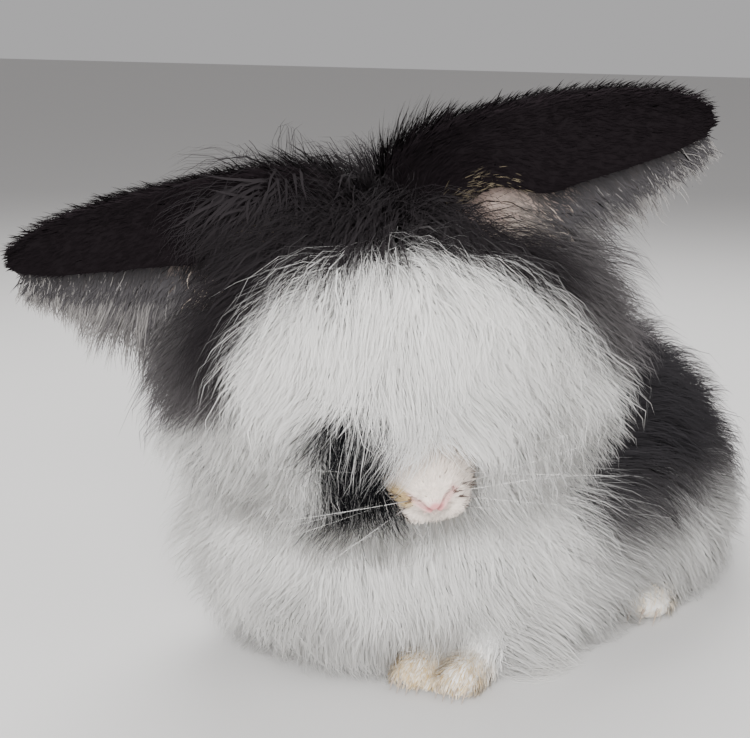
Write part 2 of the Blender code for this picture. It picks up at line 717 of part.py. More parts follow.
def torso_locks():
    """Makes the tiers of locks from the chest over the back to the rump."""
    rng = random.Random(SEED + 2)
    outside = [ruff_reach(), tail_reach()] + [haunch(s, reach=True) for s in ("left", "right")]
    tubes = [foreleg_tube(s) for s in ("left", "right")]
    back_reach = Reach([], outside, tubes, 1.0)
    front_reach = Reach([chest_reach()], outside, tubes, 1.0)
    between_paws = (PAW_TOES["left"][0] + PAW_TOES["right"][0]) / 2.0
    made = []
    for row, y in enumerate(TORSO_TIERS):
        half, _, high, _ = torso_section(y)
        count = max(5, round(math.pi * (half + high) / TORSO_LOCK_SPACING))
        for k in range(count):
            angle = 2.0 * math.pi * (k + 0.5 * (row % 2) + rng.uniform(-0.15, 0.15)) / count
            root, normal = torso_point(y + rng.uniform(-4.0, 4.0), angle)
            if root[2] < 9.0 or not back_reach.holds(root):
                continue
            chest = y < CHEST_BACK
            reach = front_reach if chest else back_reach
            lie = np.array([normal[0] * 0.9, -0.3, -0.8] if chest else [normal[0] * 0.3, 1.0, -0.8])
            lie = lie - normal * (lie @ normal)
            length = CHEST_LOCK_LENGTH if chest else BACK_LOCK_LENGTH
            if chest and abs(root[0] - between_paws) < PAW_OPENING:
                length = PAW_LOCK_LENGTH
            length *= rng.uniform(0.88, 1.12)
            made.append(lock("lock", root, normal, lie, length, TORSO_LOCK_WIDTH * rng.uniform(0.88, 1.12),
                             LOCK_THICK, CHEST_LIFT if chest else BACK_LIFT, rng.uniform(-0.25, 0.25), reach,
                             4.0))
    return made


def foreleg_tube(side):
    """Gives the straight tube that keeps locks clear of a foreleg."""
    toe = PAW_TOES[side]
    return (toe[0], toe[1], 6.0), FORELEG_TOP[side], FORELEG_HALF_WIDTH + 2.0


def foreleg_body(name, side, grown=0.0):
    """Makes a forearm with its paw as one tube that runs into the chest."""
    toe_x, toe_y = PAW_TOES[side]
    top = np.array(FORELEG_TOP[side])
    low = PAW_HEIGHT * 0.42
    path = [(toe_x, toe_y, low * 0.8), (toe_x, toe_y + 4.0, low), (toe_x, toe_y + 14.0, low * 1.05),
            (toe_x, toe_y + 24.0, low * 1.5), (np.array([toe_x, toe_y + 30.0, 20.0]) + top) / 2.0, top]
    radii = [PAW_HALF_WIDTH * r for r in (0.55, 0.85, 1.0, 1.0)] + [FORELEG_HALF_WIDTH] * 2
    return tube(name, path, [r + grown for r in radii], flat=0.92, sides=16)


def foreleg_node(side):
    """Makes a foreleg that meets the chest."""
    node = foreleg_body("foreleg_" + side, side)
    return combine(node, [torso_core("torso_cutter", GAP), floor_cutter()], "DIFFERENCE")


# Rows of locks on a haunch: height on it and count, then their length, width and lift
HAUNCH_LOCK_ROWS = ((0.5, 3), (0.05, 4), (-0.42, 5))
HAUNCH_LOCK_LENGTH = 42.0
HAUNCH_LOCK_WIDTH = 34.0
HAUNCH_LIFT = 50.0


def hind_leg_node(side):
    """Makes a haunch with its long foot and the wool that hangs over them."""
    node = haunch(side).body("hind_leg_" + side, 18, 12)
    combine(node, [hind_foot(side)], "UNION")
    combine(node, [floor_cutter()], "DIFFERENCE")
    rng = random.Random(SEED + (3 if side == "left" else 4))
    sign = 1.0 if side == "left" else -1.0
    bone = haunch(side)
    reach = Reach([haunch(side, reach=True)], [], [], 1.0)
    made = []
    for row, (height, count) in enumerate(HAUNCH_LOCK_ROWS):
        for k in range(count):
            turn = math.radians(-82.0 + 164.0 * (k + 0.5 + 0.25 * (row % 2)) / (count + 0.25))
            ring = math.sqrt(1.0 - height * height)
            root, normal = bone.surface((sign * ring * math.cos(turn), ring * math.sin(turn), height))
            if root[2] < 9.0 or torso_holds(root):
                continue
            lie = np.array([0.0, 0.35, -1.0])
            lie = lie - normal * (lie @ normal)
            made.append(lock("lock", root, normal, lie, HAUNCH_LOCK_LENGTH * rng.uniform(0.85, 1.15),
                             HAUNCH_LOCK_WIDTH * rng.uniform(0.85, 1.15), LOCK_THICK, HAUNCH_LIFT,
                             rng.uniform(-0.3, 0.3), reach, 3.5))
    kept = haunch(side, reach=True).body("reach", 24, 16)
    return add_locks(node, made, [torso_core("torso_cutter", GAP)], kept)


def torso_holds(place):
    """Tells whether a place lies inside the torso's core."""
    half, middle, high, shift = torso_section(place[1])
    return ((place[0] - shift) / half) ** 2 + ((place[2] - middle) / high) ** 2 < 1.0


def tail_body(name, grown=0.0):
    """Makes the short upright tail as a tube that leans on the rump."""
    root, tip = np.array(TAIL_ROOT), np.array(TAIL_TIP)
    path = [root + (tip - root) * s for s in (0.0, 0.25, 0.5, 0.75, 0.92, 1.0)]
    radii = [TAIL_RADIUS * r for r in (0.8, 0.95, 1.0, 1.0, 0.8, 0.45)]
    return tube(name, path, [r + grown for r in radii], sides=18, up=(1.0, 0.0, 0.0))


TAIL_LOCK_SHARES = (0.4, 0.85)
TAIL_LOCKS_ROUND = 3
TAIL_LOCK_LENGTH = 28.0
TAIL_LOCK_WIDTH = 18.0
TAIL_LOCK_THICK = 4.0
TAIL_LIFT = 34.0


def tail_node():
    """Makes the tail with its tuft of locks, cut to meet the rump."""
    node = combine(tail_body("tail"), [torso_core("torso_cutter", GAP)], "DIFFERENCE")
    rng = random.Random(SEED + 9)
    root, tip = np.array(TAIL_ROOT), np.array(TAIL_TIP)
    along = unit(tip - root)
    outward = unit(np.cross((1.0, 0.0, 0.0), along))
    reach = Reach([tail_reach()], [], [], 2.0)
    made = []
    for share in TAIL_LOCK_SHARES:
        for k in range(TAIL_LOCKS_ROUND):
            swing = math.radians(-75.0 + 150.0 * (k + 0.5) / TAIL_LOCKS_ROUND)
            normal = outward * math.cos(swing) + np.array([1.0, 0.0, 0.0]) * math.sin(swing)
            place = root + (tip - root) * share + normal * TAIL_RADIUS * 0.9
            made.append(lock("lock", place, normal, along, TAIL_LOCK_LENGTH * rng.uniform(0.9, 1.1),
                             TAIL_LOCK_WIDTH, TAIL_LOCK_THICK, TAIL_LIFT, rng.uniform(-0.2, 0.2), reach, 2.0))
    return add_locks(node, made, [torso_core("torso_cutter", GAP)], tail_reach().body("reach", 20, 14))


def tail_reach():
    """Gives the reach of the tail's coat."""
    middle = (np.array(TAIL_ROOT) + np.array(TAIL_TIP)) / 2.0 + np.array([0.0, 2.0, 5.0])
    return Ellipsoid(middle, TAIL_REACH)


def ear_line(side, share):
    """Gives a place on the middle line of an ear."""
    root, bend, tip = (np.array(p[side]) for p in (EAR_ROOT, EAR_BEND, EAR_TIP))
    pull = bend * 1.15 - tip * 0.15
    return on_head((1.0 - share) ** 2 * root + 2.0 * share * (1.0 - share) * pull + share * share * tip)


def ear_frame(side, share):
    """Gives the middle line of an ear, its direction, the way over its ridge and the way to its front."""
    step = 0.02
    along = unit(ear_line(side, share + step) - ear_line(side, share - step))
    upward = np.array([0.0, 0.0, 1.0])
    upward = unit(upward - along * (along @ upward))
    front = np.cross(along, upward) * (1.0 if side == "left" else -1.0)
    lean = math.radians(EAR_LEAN)
    leaning = upward * math.cos(lean) - front * math.sin(lean)
    return ear_line(side, share), along, leaning, front * math.cos(lean) + upward * math.sin(lean)


def ear_point(side, share, swing, lift=0.0):
    """Gives a place on an ear's arch: swing runs from the front rim over the ridge to the rear rim."""
    place, _, upward, front = ear_frame(side, share)
    shares = [s[0] for s in EAR_SECTIONS]
    high = EAR_HEIGHT[side] * float(np.interp(share, shares, [s[1] for s in EAR_SECTIONS]))
    deep = float(np.interp(share, shares, [s[2] for s in EAR_SECTIONS]))
    turn = swing * math.pi / 2.0
    rise = 2.0 * high * math.cos(turn) - high - EAR_REAR_DROP * high * max(swing, 0.0) ** 2
    depth = -deep * math.copysign(abs(math.sin(turn)) ** 0.8, turn)
    outward = unit(upward * math.cos(turn) * 0.6 - front * math.sin(turn))
    return place + upward * rise + front * depth + outward * lift


EAR_STATIONS = (0.0, 0.07, 0.16, 0.28, 0.42, 0.56, 0.7, 0.82, 0.91, 0.97, 0.993)
EAR_ARC_POINTS = 8
EAR_SOLID_SHARE = 0.22


def ear_body(name, side, grown=0.0):
    """Makes an ear as an arch with a solid root, or the filled and grown arch as a cutter."""
    loops = []
    for share in EAR_STATIONS:
        fill = 1.0 if grown else max(0.0, 1.0 - share / EAR_SOLID_SHARE) * 0.8
        below = -ear_frame(side, share)[2] * (1.0 + grown) if grown else 0.0
        rim_lift = grown if grown else -EAR_WALL * EAR_RIM_WALL / 2.0
        rims = [ear_point(side, share, swing, rim_lift) + below for swing in (-1.0, 1.0)]
        outer, inner = [], []
        for k in range(EAR_ARC_POINTS):
            swing = -1.0 + 2.0 * k / (EAR_ARC_POINTS - 1)
            wall = EAR_WALL * (1.0 - (1.0 - EAR_RIM_WALL) * swing * swing) / 2.0
            outer.append(ear_point(side, share, swing, wall + grown))
            chord = rims[0] + (rims[1] - rims[0]) * (swing + 1.0) / 2.0
            hollow = ear_point(side, share, swing, -wall)
            inner.append(hollow + (chord - hollow) * fill)
        loops.append(outer + inner[::-1])
    start = loops[0][0] + (loops[0][EAR_ARC_POINTS] - loops[0][0]) / 2.0
    return loft(name, loops, [start, ear_point(side, 1.0, 0.0, grown)])


EAR_FRINGE_SAG = {"left": 0.3, "right": 0.6}
EAR_FRINGE = {
    "left": ((0.48, 30.0), (0.59, 27.0), (0.7, 23.0), (0.81, 18.0), (0.92, 13.0)),
    "right": ((0.48, 52.0), (0.59, 47.0), (0.7, 38.0), (0.81, 28.0), (0.92, 18.0)),
}
EAR_FRINGE_WIDTH = 20.0
EAR_RIDGE_TUFTS = {
    "left": ((0.28, 24.0, 0.12), (0.44, 18.0, 0.06)),
    "right": ((0.2, 27.0, 0.32), (0.31, 24.0, 0.16), (0.46, 18.0, 0.06)),
}
EAR_RIDGE_WIDTH = 12.0
EAR_TUFT_THICKNESS = 2.4


def ear_node(side):
    """Makes an ear with the wool that hangs from its rear rim, cut to meet the head's core."""
    cutter = head_core().grown(GAP).body("head_cutter", 24, 14)
    node = combine(ear_body("ear_" + side, side), [cutter], "DIFFERENCE")
    rng = random.Random(SEED + (5 if side == "left" else 6))
    reach = Reach([], [head_reach(), ruff_reach()], [], 2.0)
    made = []
    for share, length in EAR_FRINGE[side]:
        _, along, _, front = ear_frame(side, share)
        root = ear_point(side, share, 0.92)
        rim = unit(ear_point(side, share, 1.0) - ear_point(side, share, 0.88))
        lie = unit(along * 0.45 + rim + np.array([0.0, 0.0, -EAR_FRINGE_SAG[side]]))
        facing = unit(front - lie * (front @ lie))
        made.append(lock("lock", root, facing, lie, length * rng.uniform(0.92, 1.08), EAR_FRINGE_WIDTH,
                         EAR_TUFT_THICKNESS, 0.0, rng.uniform(-0.15, 0.15), reach, 2.0, sunk=rim))
    for share, length, rise in EAR_RIDGE_TUFTS[side]:
        _, along, upward, front = ear_frame(side, share)
        root = ear_point(side, share, 0.0, EAR_RIDGE_WIDTH * 0.2)
        made.append(lock("lock", root, front, unit(along + upward * rise), length * rng.uniform(0.9, 1.1),
                         EAR_RIDGE_WIDTH, EAR_TUFT_THICKNESS, 0.0, rng.uniform(-0.15, 0.15), reach, 2.0,
                         sunk=along))
    return add_locks(node, made, [head_reach().grown(GAP).body("reach", 24, 16),
                                  ruff_reach().grown(GAP).body("reach", 24, 16)])


def eye_node(side):
    """Makes an eyeball."""
    return Ellipsoid(eye_place(side), [EYE_RADIUS] * 3, HEAD_FRAME).body("eye_" + side, 16, 10)


COLOURS = {
    "head": (0.72, 0.71, 0.68),
    "neck": (0.55, 0.54, 0.54),
    "torso": (0.10, 0.10, 0.11),
    "foreleg": (0.74, 0.72, 0.64),
    "hind_leg": (0.36, 0.36, 0.36),
    "tail": (0.16, 0.16, 0.17),
    "ear": (0.035, 0.03, 0.033),
    "eye": (0.02, 0.014, 0.012),
}


def finish(node, kind):
    """Gives a node its colour and smooth shading."""
    material = bpy.data.materials.new(node.name)
    material.use_nodes = True
    shader = material.node_tree.nodes["Principled BSDF"]
    shader.inputs["Base Color"].default_value = (*COLOURS[kind], 1.0)
    shader.inputs["Roughness"].default_value = 0.15 if kind == "eye" else 0.9
    shader.inputs["Metallic"].default_value = 0.0
    node.data.materials.clear()
    node.data.materials.append(material)
    node.data.shade_smooth()
    node.data.set_sharp_from_angle(angle=math.radians(50.0))


def main():
    """Clears the scene and builds every node of the rabbit."""
    for old in list(bpy.data.objects):
        bpy.data.objects.remove(old)
    finish(torso_node(), "torso")
    finish(neck_node(), "neck")
    finish(head_node(), "head")
    finish(tail_node(), "tail")
    for side in ("left", "right"):
        finish(foreleg_node(side), "foreleg")
        finish(hind_leg_node(side), "hind_leg")
        finish(ear_node(side), "ear")
        finish(eye_node(side), "eye")


main()
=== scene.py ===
"""Angora rabbit at rest, life size: skin, coat, eyes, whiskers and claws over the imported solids.

Sizes are in millimetres on the model's axes and are turned into metres when a mesh is made. The
rabbit faces -Y with its own left at +X. Places on the head are given forward, left and up.
"""

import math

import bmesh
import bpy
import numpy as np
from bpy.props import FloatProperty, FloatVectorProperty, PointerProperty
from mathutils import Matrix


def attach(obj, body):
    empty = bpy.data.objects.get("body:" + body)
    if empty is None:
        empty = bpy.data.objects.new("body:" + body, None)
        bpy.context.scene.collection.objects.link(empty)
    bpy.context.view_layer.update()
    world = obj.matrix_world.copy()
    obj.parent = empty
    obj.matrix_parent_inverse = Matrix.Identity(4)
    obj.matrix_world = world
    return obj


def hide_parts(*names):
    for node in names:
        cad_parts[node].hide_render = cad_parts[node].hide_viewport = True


bl_info = {
    "name": "Angora Rabbit",
    "version": (1, 0, 0),
    "blender": (4, 5, 0),
    "location": "View3D > Sidebar > Rabbit",
    "description": "Builds a long-haired rabbit with skin, coat, eyes, whiskers and claws",
    "category": "Add Mesh",
}

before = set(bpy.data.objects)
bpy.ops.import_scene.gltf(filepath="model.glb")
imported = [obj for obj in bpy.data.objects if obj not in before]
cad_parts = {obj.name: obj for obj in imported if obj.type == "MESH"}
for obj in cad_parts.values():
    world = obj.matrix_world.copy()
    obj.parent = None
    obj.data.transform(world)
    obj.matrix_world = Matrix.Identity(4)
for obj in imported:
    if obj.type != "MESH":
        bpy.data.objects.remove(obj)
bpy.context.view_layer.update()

MM = 0.001
SEED = 20
DOWN = np.array([0.0, 0.0, -1.0])

# Camera: what it looks at, its angles in degrees, distance, lens, sensor and shift of the frame
CAMERA_TARGET = (-4.0, -100.0, 118.0)
CAMERA_AZIMUTH = 27.0
CAMERA_ELEVATION = 15.0
CAMERA_DISTANCE = 520.0
CAMERA_LENS, CAMERA_SENSOR = 69.33, 36.0
CAMERA_SHIFT = (-0.02667, 0.01467)

# Head: nose tip, the head's turn, nod and tilt in degrees, and the skull's sections along the head
NOSE_TIP = (31.0, -140.0, 88.5)
HEAD_TURN, HEAD_NOD, HEAD_TILT = 39.0, 38.5, 15.0
NOSE_REACH = 51.0
SKULL_SECTIONS = (
    (-42.0, 10.0, 12.0, -6.0),
    (-38.0, 16.5, 17.5, -12.0),
    (-28.0, 21.5, 23.0, -19.0),
    (-14.0, 24.0, 26.0, -24.0),
    (0.0, 24.5, 26.5, -26.0),
    (12.0, 22.5, 24.0, -26.0),
    (23.0, 18.5, 19.0, -24.5),
    (33.0, 15.0, 13.5, -21.5),
    (41.0, 12.8, 9.5, -17.0),
    (47.0, 9.5, 6.0, -11.5),
    (51.0, 2.5, -1.0, -4.0),
)
SKULL_MIDDLE = (6.0, 0.0, -2.0)
EYE_RADIUS = 8.5
EYE_PLACE = (9.0, 17.5, 8.5)
EYE_AXIS = (0.20, 0.95, 0.22)

# Middles and half sizes of the head's whisker pads, chin, nose and cheeks, and how firmly they blend
SKULL_PADS = (
    (43.5, 5.4, -8.0, 6.4, 6.2, 6.2),
    (43.5, -5.4, -8.0, 6.4, 6.2, 6.2),
    (38.0, 0.0, -16.5, 7.5, 6.5, 5.5),
    (48.6, 0.0, -1.6, 3.4, 5.0, 3.8),
    (4.0, 12.0, -12.0, 18.0, 12.5, 15.0),
    (4.0, -12.0, -12.0, 18.0, 12.5, 15.0),
)
PAD_BLEND = 14.0
SKULL_HALVINGS = 26

# Torso: y, half width, top and shift of the skin, then y, half width and top of the coat's outside
TORSO_SKIN = (
    (-88.0, 12.0, 38.0, -20.0),
    (-80.0, 32.0, 52.0, -19.0),
    (-64.0, 44.0, 72.0, -17.0),
    (-42.0, 48.0, 89.0, -12.0),
    (-16.0, 49.0, 101.0, -6.0),
    (12.0, 50.0, 104.0, -1.0),
    (44.0, 54.0, 99.0, 0.0),
    (74.0, 52.0, 85.0, 0.0),
    (96.0, 42.0, 68.0, 0.0),
    (112.0, 28.0, 52.0, 0.0),
    (120.0, 10.0, 40.0, 0.0),
)
TORSO_COAT = (
    (-124.0, 8.0, 40.0),
    (-118.0, 40.0, 62.0),
    (-104.0, 60.0, 82.0),
    (-84.0, 74.0, 98.0),
    (-60.0, 80.0, 112.0),
    (-30.0, 83.0, 128.0),
    (0.0, 84.0, 138.0),
    (30.0, 86.0, 139.0),
    (60.0, 86.0, 131.0),
    (90.0, 80.0, 116.0),
    (115.0, 66.0, 96.0),
    (135.0, 46.0, 76.0),
    (148.0, 26.0, 58.0),
    (156.0, 5.0, 42.0),
)
BELLY = -9.0
TRUNK_ROUNDING = 8.0
TRUNK_SIDES = 40
NECK_FOOT, NECK_END = (-8.0, -36.0, 62.0), (-16.0, 0.0, -10.0)
NECK_RADII = (38.0, 37.0, 36.0, 32.0)
SKIN_VOXEL = 2.2
SKIN_LOWEST = 0.6
CHEST_FRONT = -84.0
RUMP_BACK = 104.0

# Legs and tail
HAUNCH_CENTRE = (48.0, 42.0, 34.0)
HAUNCH_SKIN = (25.0, 44.0, 33.0)
HAUNCH_COAT = (44.0, 61.0, 49.0)
HIND_HEEL, HIND_TOE = (55.0, 74.0), (62.0, -8.0)
HIND_FOOT_HALF_WIDTH, HIND_FOOT_HEIGHT = 11.5, 17.0
PAW_TOES = {"left": (22.5, -105.0), "right": (4.5, -106.5)}
PAW_HALF_WIDTH, PAW_HEIGHT = 8.0, 13.0
FORELEG_TOP = {"left": (21.0, -62.0, 38.0), "right": (-5.0, -62.0, 38.0)}
PAW_TOE_STEPS, PAW_TOE_HALF = (-5.4, -1.8, 1.8, 5.4), (2.7, 5.4, 3.6)
HIND_TOE_STEPS, HIND_TOE_HALF = (-7.8, -2.6, 2.6, 7.8), (3.4, 8.0, 4.4)
CLAW_RADIUS = 0.8
CLAW_SHARES = (0.0, 0.25, 0.5, 0.75, 1.0)
TAIL_ROOT, TAIL_TIP, TAIL_RADIUS = (0.0, 112.0, 30.0), (0.0, 131.0, 70.0), 9.0
TAIL_STRANDS = 5500

# How far the end of a tube stands out, as a share of its radius
CAP_SHARE = 0.4

# Ears: middle line on the head's axes, and sections along it: share, half height, half depth
EAR_ROOT = {"left": (-42.0, 15.0, 32.0), "right": (-42.0, -15.0, 32.0)}
EAR_BEND = {"left": (-56.0, 42.0, 54.0), "right": (-56.0, -44.0, 50.0)}
EAR_TIP = {"left": (-62.0, 125.0, 34.0), "right": (-64.0, -131.0, 34.0)}
EAR_SECTIONS = (
    (0.0, 14.0, 11.0),
    (0.12, 18.0, 13.0),
    (0.25, 18.0, 12.0),
    (0.42, 17.0, 10.0),
    (0.6, 15.5, 9.0),
    (0.78, 13.5, 8.0),
    (0.9, 10.5, 6.5),
    (0.97, 6.5, 4.5),
    (1.0, 2.0, 1.6),
)
EAR_HEIGHT = {"left": 1.08, "right": 0.94}

# Wool hanging from the rear rim of the ears: shares along, lengths there, how fast it sinks and tufts
FRINGE_SHARES = (0.0, 0.3, 0.5, 0.7, 0.9, 1.0)
FRINGE_LENGTHS = {"left": (34.0, 32.0, 30.0, 22.0, 13.0, 8.0), "right": (84.0, 80.0, 68.0, 38.0, 16.0, 9.0)}
FRINGE_SAG = {"left": 0.10, "right": 0.22}
FRINGE_TUFTS = {"left": 460, "right": 820}
FRINGE_STRANDS = 6
FRINGE_STEPS = 5

# Fixed colours of small parts
PUPIL_COLOUR, EYE_WHITE, LID_COLOUR = (0.008, 0.006, 0.006), (0.55, 0.50, 0.47), (0.05, 0.035, 0.035)
WHISKER_DOT, WHISKER_BASE, WHISKER_PALE = (0.07, 0.04, 0.03), (0.05, 0.035, 0.03), (0.66, 0.65, 0.63)
EAR_SKIN_DARK, GOLD_TICK = (0.05, 0.045, 0.045), (0.20, 0.165, 0.11)
LINING_DARK, LINING_PALE, LINING_PINK = (0.045, 0.042, 0.044), (0.40, 0.35, 0.30), (0.50, 0.38, 0.33)
FRINGE_NEAR, FRINGE_FAR, FRINGE_PALE = (0.055, 0.051, 0.053), (0.19, 0.18, 0.172), (0.40, 0.34, 0.29)
CLAW_COLOUR = (0.34, 0.27, 0.21, 1.0)
FLOOR_COLOUR, ROOM_COLOUR, ROOM_LIGHT = (0.56, 0.55, 0.54, 1.0), (0.86, 0.85, 0.86, 1.0), 0.55
FLOOR_HALF = 4.0


def unit(rows):
    """Gives vectors at length one."""
    rows = np.asarray(rows, dtype=float)
    return rows / np.maximum(np.linalg.norm(rows, axis=-1, keepdims=True), 1e-9)


def head_axes():
    """Gives the head's forward, left and up directions as columns."""
    turned = (Matrix.Rotation(math.radians(HEAD_TURN), 3, "Z")
              @ Matrix.Rotation(math.radians(HEAD_NOD), 3, "X")
              @ Matrix.Rotation(math.radians(-HEAD_TILT), 3, "Y"))
    turned = np.array(turned)
    return np.stack([-turned[:, 1], turned[:, 0], turned[:, 2]], axis=1)


HEAD = head_axes()
SKULL_CENTRE = np.array(NOSE_TIP) - NOSE_REACH * HEAD[:, 0]


def on_head(places):
    """Turns places on the head's axes into places in the model."""
    return SKULL_CENTRE + np.asarray(places, dtype=float) @ HEAD.T


def to_head(places):
    """Turns places in the model into places on the head's axes."""
    return (np.asarray(places, dtype=float) - SKULL_CENTRE) @ HEAD


def smooth(low, high, value):
    """Rises softly from nought at the low value to one at the high value."""
    share = np.clip((value - low) / (high - low), 0.0, 1.0)
    return share * share * (3.0 - 2.0 * share)


def mix(first, second, share):
    """Blends two colours or arrays of colours by shares."""
    share = np.asarray(share, dtype=float)[..., None]
    return np.asarray(first) * (1.0 - share) + np.asarray(second) * share


class Oval:
    """The room of a coat between an inner and an outer ellipsoid round one middle."""

    def __init__(self, centre, inner, outer, axes=None):
        self.centre = np.asarray(centre, dtype=float)
        self.inner = np.asarray(inner, dtype=float)
        self.outer = np.asarray(outer, dtype=float)
        self.axes = np.eye(3) if axes is None else axes

    def spans(self, points):
        """Gives the place on the oval's axes, its distance out and both surfaces' distances."""
        local = (points - self.centre) @ self.axes
        far = np.maximum(np.linalg.norm(local, axis=-1), 1e-6)
        near = far / np.linalg.norm(local / self.inner, axis=-1)
        wide = far / np.linalg.norm(local / self.outer, axis=-1)
        return local, far, near, wide

    def level(self, points):
        """Tells how deep places lie: nought on the skin and one on the coat's outside."""
        _, far, near, wide = self.spans(points)
        return (far - near) / (wide - near)

    def place(self, points, level):
        """Moves places straight out or in to a level of the coat."""
        local, far, near, wide = self.spans(points)
        wanted = near + (wide - near) * level
        return self.centre + (local * (wanted / far)[..., None]) @ self.axes.T

    def outward(self, points):
        """Gives the outward directions at places."""
        local = (points - self.centre) @ self.axes
        return unit(local / self.outer**2) @ self.axes.T

    def roots(self, count, rng):
        """Gives random places on the skin."""
        local = unit(rng.normal(size=(count, 3))) * self.inner
        return self.centre + local @ self.axes.T

    def unwrap(self, points):
        """Gives the places of points on a flat unwrap of the oval."""
        local = unit((points - self.centre) @ self.axes / self.outer)
        across = np.arctan2(local[..., 1], local[..., 0]) / (2.0 * math.pi) + 0.5
        return np.stack([0.01 + 0.98 * across, 0.01 + 0.98 * np.arccos(np.clip(local[..., 2], -1.0, 1.0))
                         / math.pi], axis=-1)


class Trunk:
    """The room of the torso's coat between two rows of sections."""

    ys = np.array([s[0] for s in TORSO_SKIN])
    outer_ys = np.array([s[0] for s in TORSO_COAT])

    def sizes(self, y):
        """Gives shift, middle height and the inner and outer half sizes at y."""
        skin = [np.interp(y, self.ys, [s[i] for s in TORSO_SKIN]) for i in (1, 2, 3)]
        inside = np.minimum((y - self.ys[0] + TRUNK_ROUNDING) / TRUNK_ROUNDING,
                            (self.ys[-1] + TRUNK_ROUNDING - y) / TRUNK_ROUNDING)
        fade = np.sqrt(np.clip(inside, 0.0, 1.0))
        coat = [np.interp(y, self.outer_ys, [s[i] for s in TORSO_COAT]) for i in (1, 2)]
        middle = (skin[1] + BELLY) / 2.0
        half, high = skin[0] * fade + 0.5, (skin[1] - middle) * fade + 0.5
        return skin[2], middle, half, high, coat[0], coat[1] - middle

    def spans(self, points):
        """Gives the offset from the middle line, its length and both surfaces' distances."""
        y = np.clip(points[..., 1], self.outer_ys[0] + 1.0, self.outer_ys[-1] - 1.0)
        shift, middle, half_in, high_in, half_out, high_out = self.sizes(y)
        side, rise = points[..., 0] - shift, points[..., 2] - middle
        far = np.maximum(np.hypot(side, rise), 1e-6)
        near = far / np.hypot(side / half_in, rise / high_in)
        wide = far / np.hypot(side / half_out, rise / np.maximum(high_out, 4.0))
        return y, shift, middle, side, rise, far, near, np.maximum(wide, near + 2.0)

    def level(self, points):
        """Tells how deep places lie: nought on the skin and one on the coat's outside."""
        _, _, _, _, _, far, near, wide = self.spans(points)
        beyond = np.maximum(self.outer_ys[0] - points[..., 1], points[..., 1] - self.outer_ys[-1])
        return np.where(beyond > 0.0, 1.0 + beyond, (far - near) / (wide - near))

    def place(self, points, level):
        """Moves places straight out or in to a level of the coat."""
        y, shift, middle, side, rise, far, near, wide = self.spans(points)
        scale = (near + (wide - near) * level) / far
        return np.stack([shift + side * scale, y, middle + rise * scale], axis=-1)

    def outward(self, points):
        """Gives the outward directions at places."""
        _, _, _, side, rise, far, _, _ = self.spans(points)
        back = (points[..., 1] - 15.0) / 140.0
        return unit(np.stack([side / far, back * np.abs(back), rise / far], axis=-1))

    def roots(self, count, rng):
        """Gives random places on the skin."""
        y = rng.uniform(self.ys[0] + 1.0, self.ys[-1] - 1.0, count)
        shift, middle, half, high, _, _ = self.sizes(y)
        angle = rng.uniform(-0.35, math.pi + 0.35, count)
        kept = rng.uniform(0.0, 60.0, count) < half + 12.0
        places = np.stack([shift + half * np.cos(angle), y, middle + high * np.sin(angle)], axis=-1)
        return places[kept]

    def unwrap(self, points):
        """Gives the places of points on a flat unwrap of the torso."""
        _, _, _, side, rise, _, _, _ = self.spans(points)
        around = np.arctan2(rise, side) / (2.0 * math.pi) % 1.0
        along = (points[..., 1] - self.outer_ys[0]) / (self.outer_ys[-1] - self.outer_ys[0])
        return np.stack([0.01 + 0.98 * around, 0.01 + 0.98 * np.clip(along, 0.0, 1.0)], axis=-1)


def plan_axes(turn):
    """Gives level axes turned about the vertical by an angle in degrees."""
    return np.array(Matrix.Rotation(math.radians(turn), 3, "Z"))


HEAD_COAT = Oval(on_head((-20.0, -3.0, 4.0)), (38.0, 44.0, 38.0), (75.0, 86.0, 68.0), HEAD)
RUFF_COAT = Oval(on_head((-28.0, -2.0, -16.0)), (46.0, 54.0, 36.0), (84.0, 99.0, 66.0), HEAD)
BIB_COAT = Oval((-22.0, -72.0, 50.0), (42.0, 27.0, 38.0), (88.0, 60.0, 62.0), plan_axes(CAMERA_AZIMUTH))
MOP_COAT = Oval((-43.0, -112.5, 176.0), (22.0, 12.0, 8.0), (50.0, 34.0, 33.0), plan_axes(CAMERA_AZIMUTH))
RUMP_COAT = Oval((0.0, 88.0, 42.0), (38.0, 30.0, 36.0), (70.0, 67.0, 60.0))
TORSO = Trunk()
HAUNCHES = {side: Oval(np.array(HAUNCH_CENTRE) * (sign, 1.0, 1.0), HAUNCH_SKIN, HAUNCH_COAT)
            for side, sign in (("left", 1.0), ("right", -1.0))}
SHELLS = {"head": HEAD_COAT, "ruff": RUFF_COAT, "bib": BIB_COAT, "torso": TORSO,
          "rump": RUMP_COAT, "haunch_left": HAUNCHES["left"], "haunch_right": HAUNCHES["right"]}


# Slow waves that sway the lie of the coat
DRIFT_DRAW = np.random.default_rng(SEED + 40)
DRIFT_TURNS = unit(DRIFT_DRAW.normal(size=(10, 3))) * 2.0 * math.pi / DRIFT_DRAW.uniform(18.0, 70.0, (10, 1))
DRIFT_PUSH = DRIFT_DRAW.normal(size=(10, 3)) * 0.12
DRIFT_PHASES = DRIFT_DRAW.uniform(0.0, 2.0 * math.pi, 10)


def drift(points):
    """Gives a slow sway of the coat's lie that changes smoothly over the body."""
    return np.sin(points @ DRIFT_TURNS.T + DRIFT_PHASES) @ DRIFT_PUSH


def off_floor(points):
    """Keeps places above the floor."""
    points[..., 2] = np.maximum(points[..., 2], 1.0)
    return points


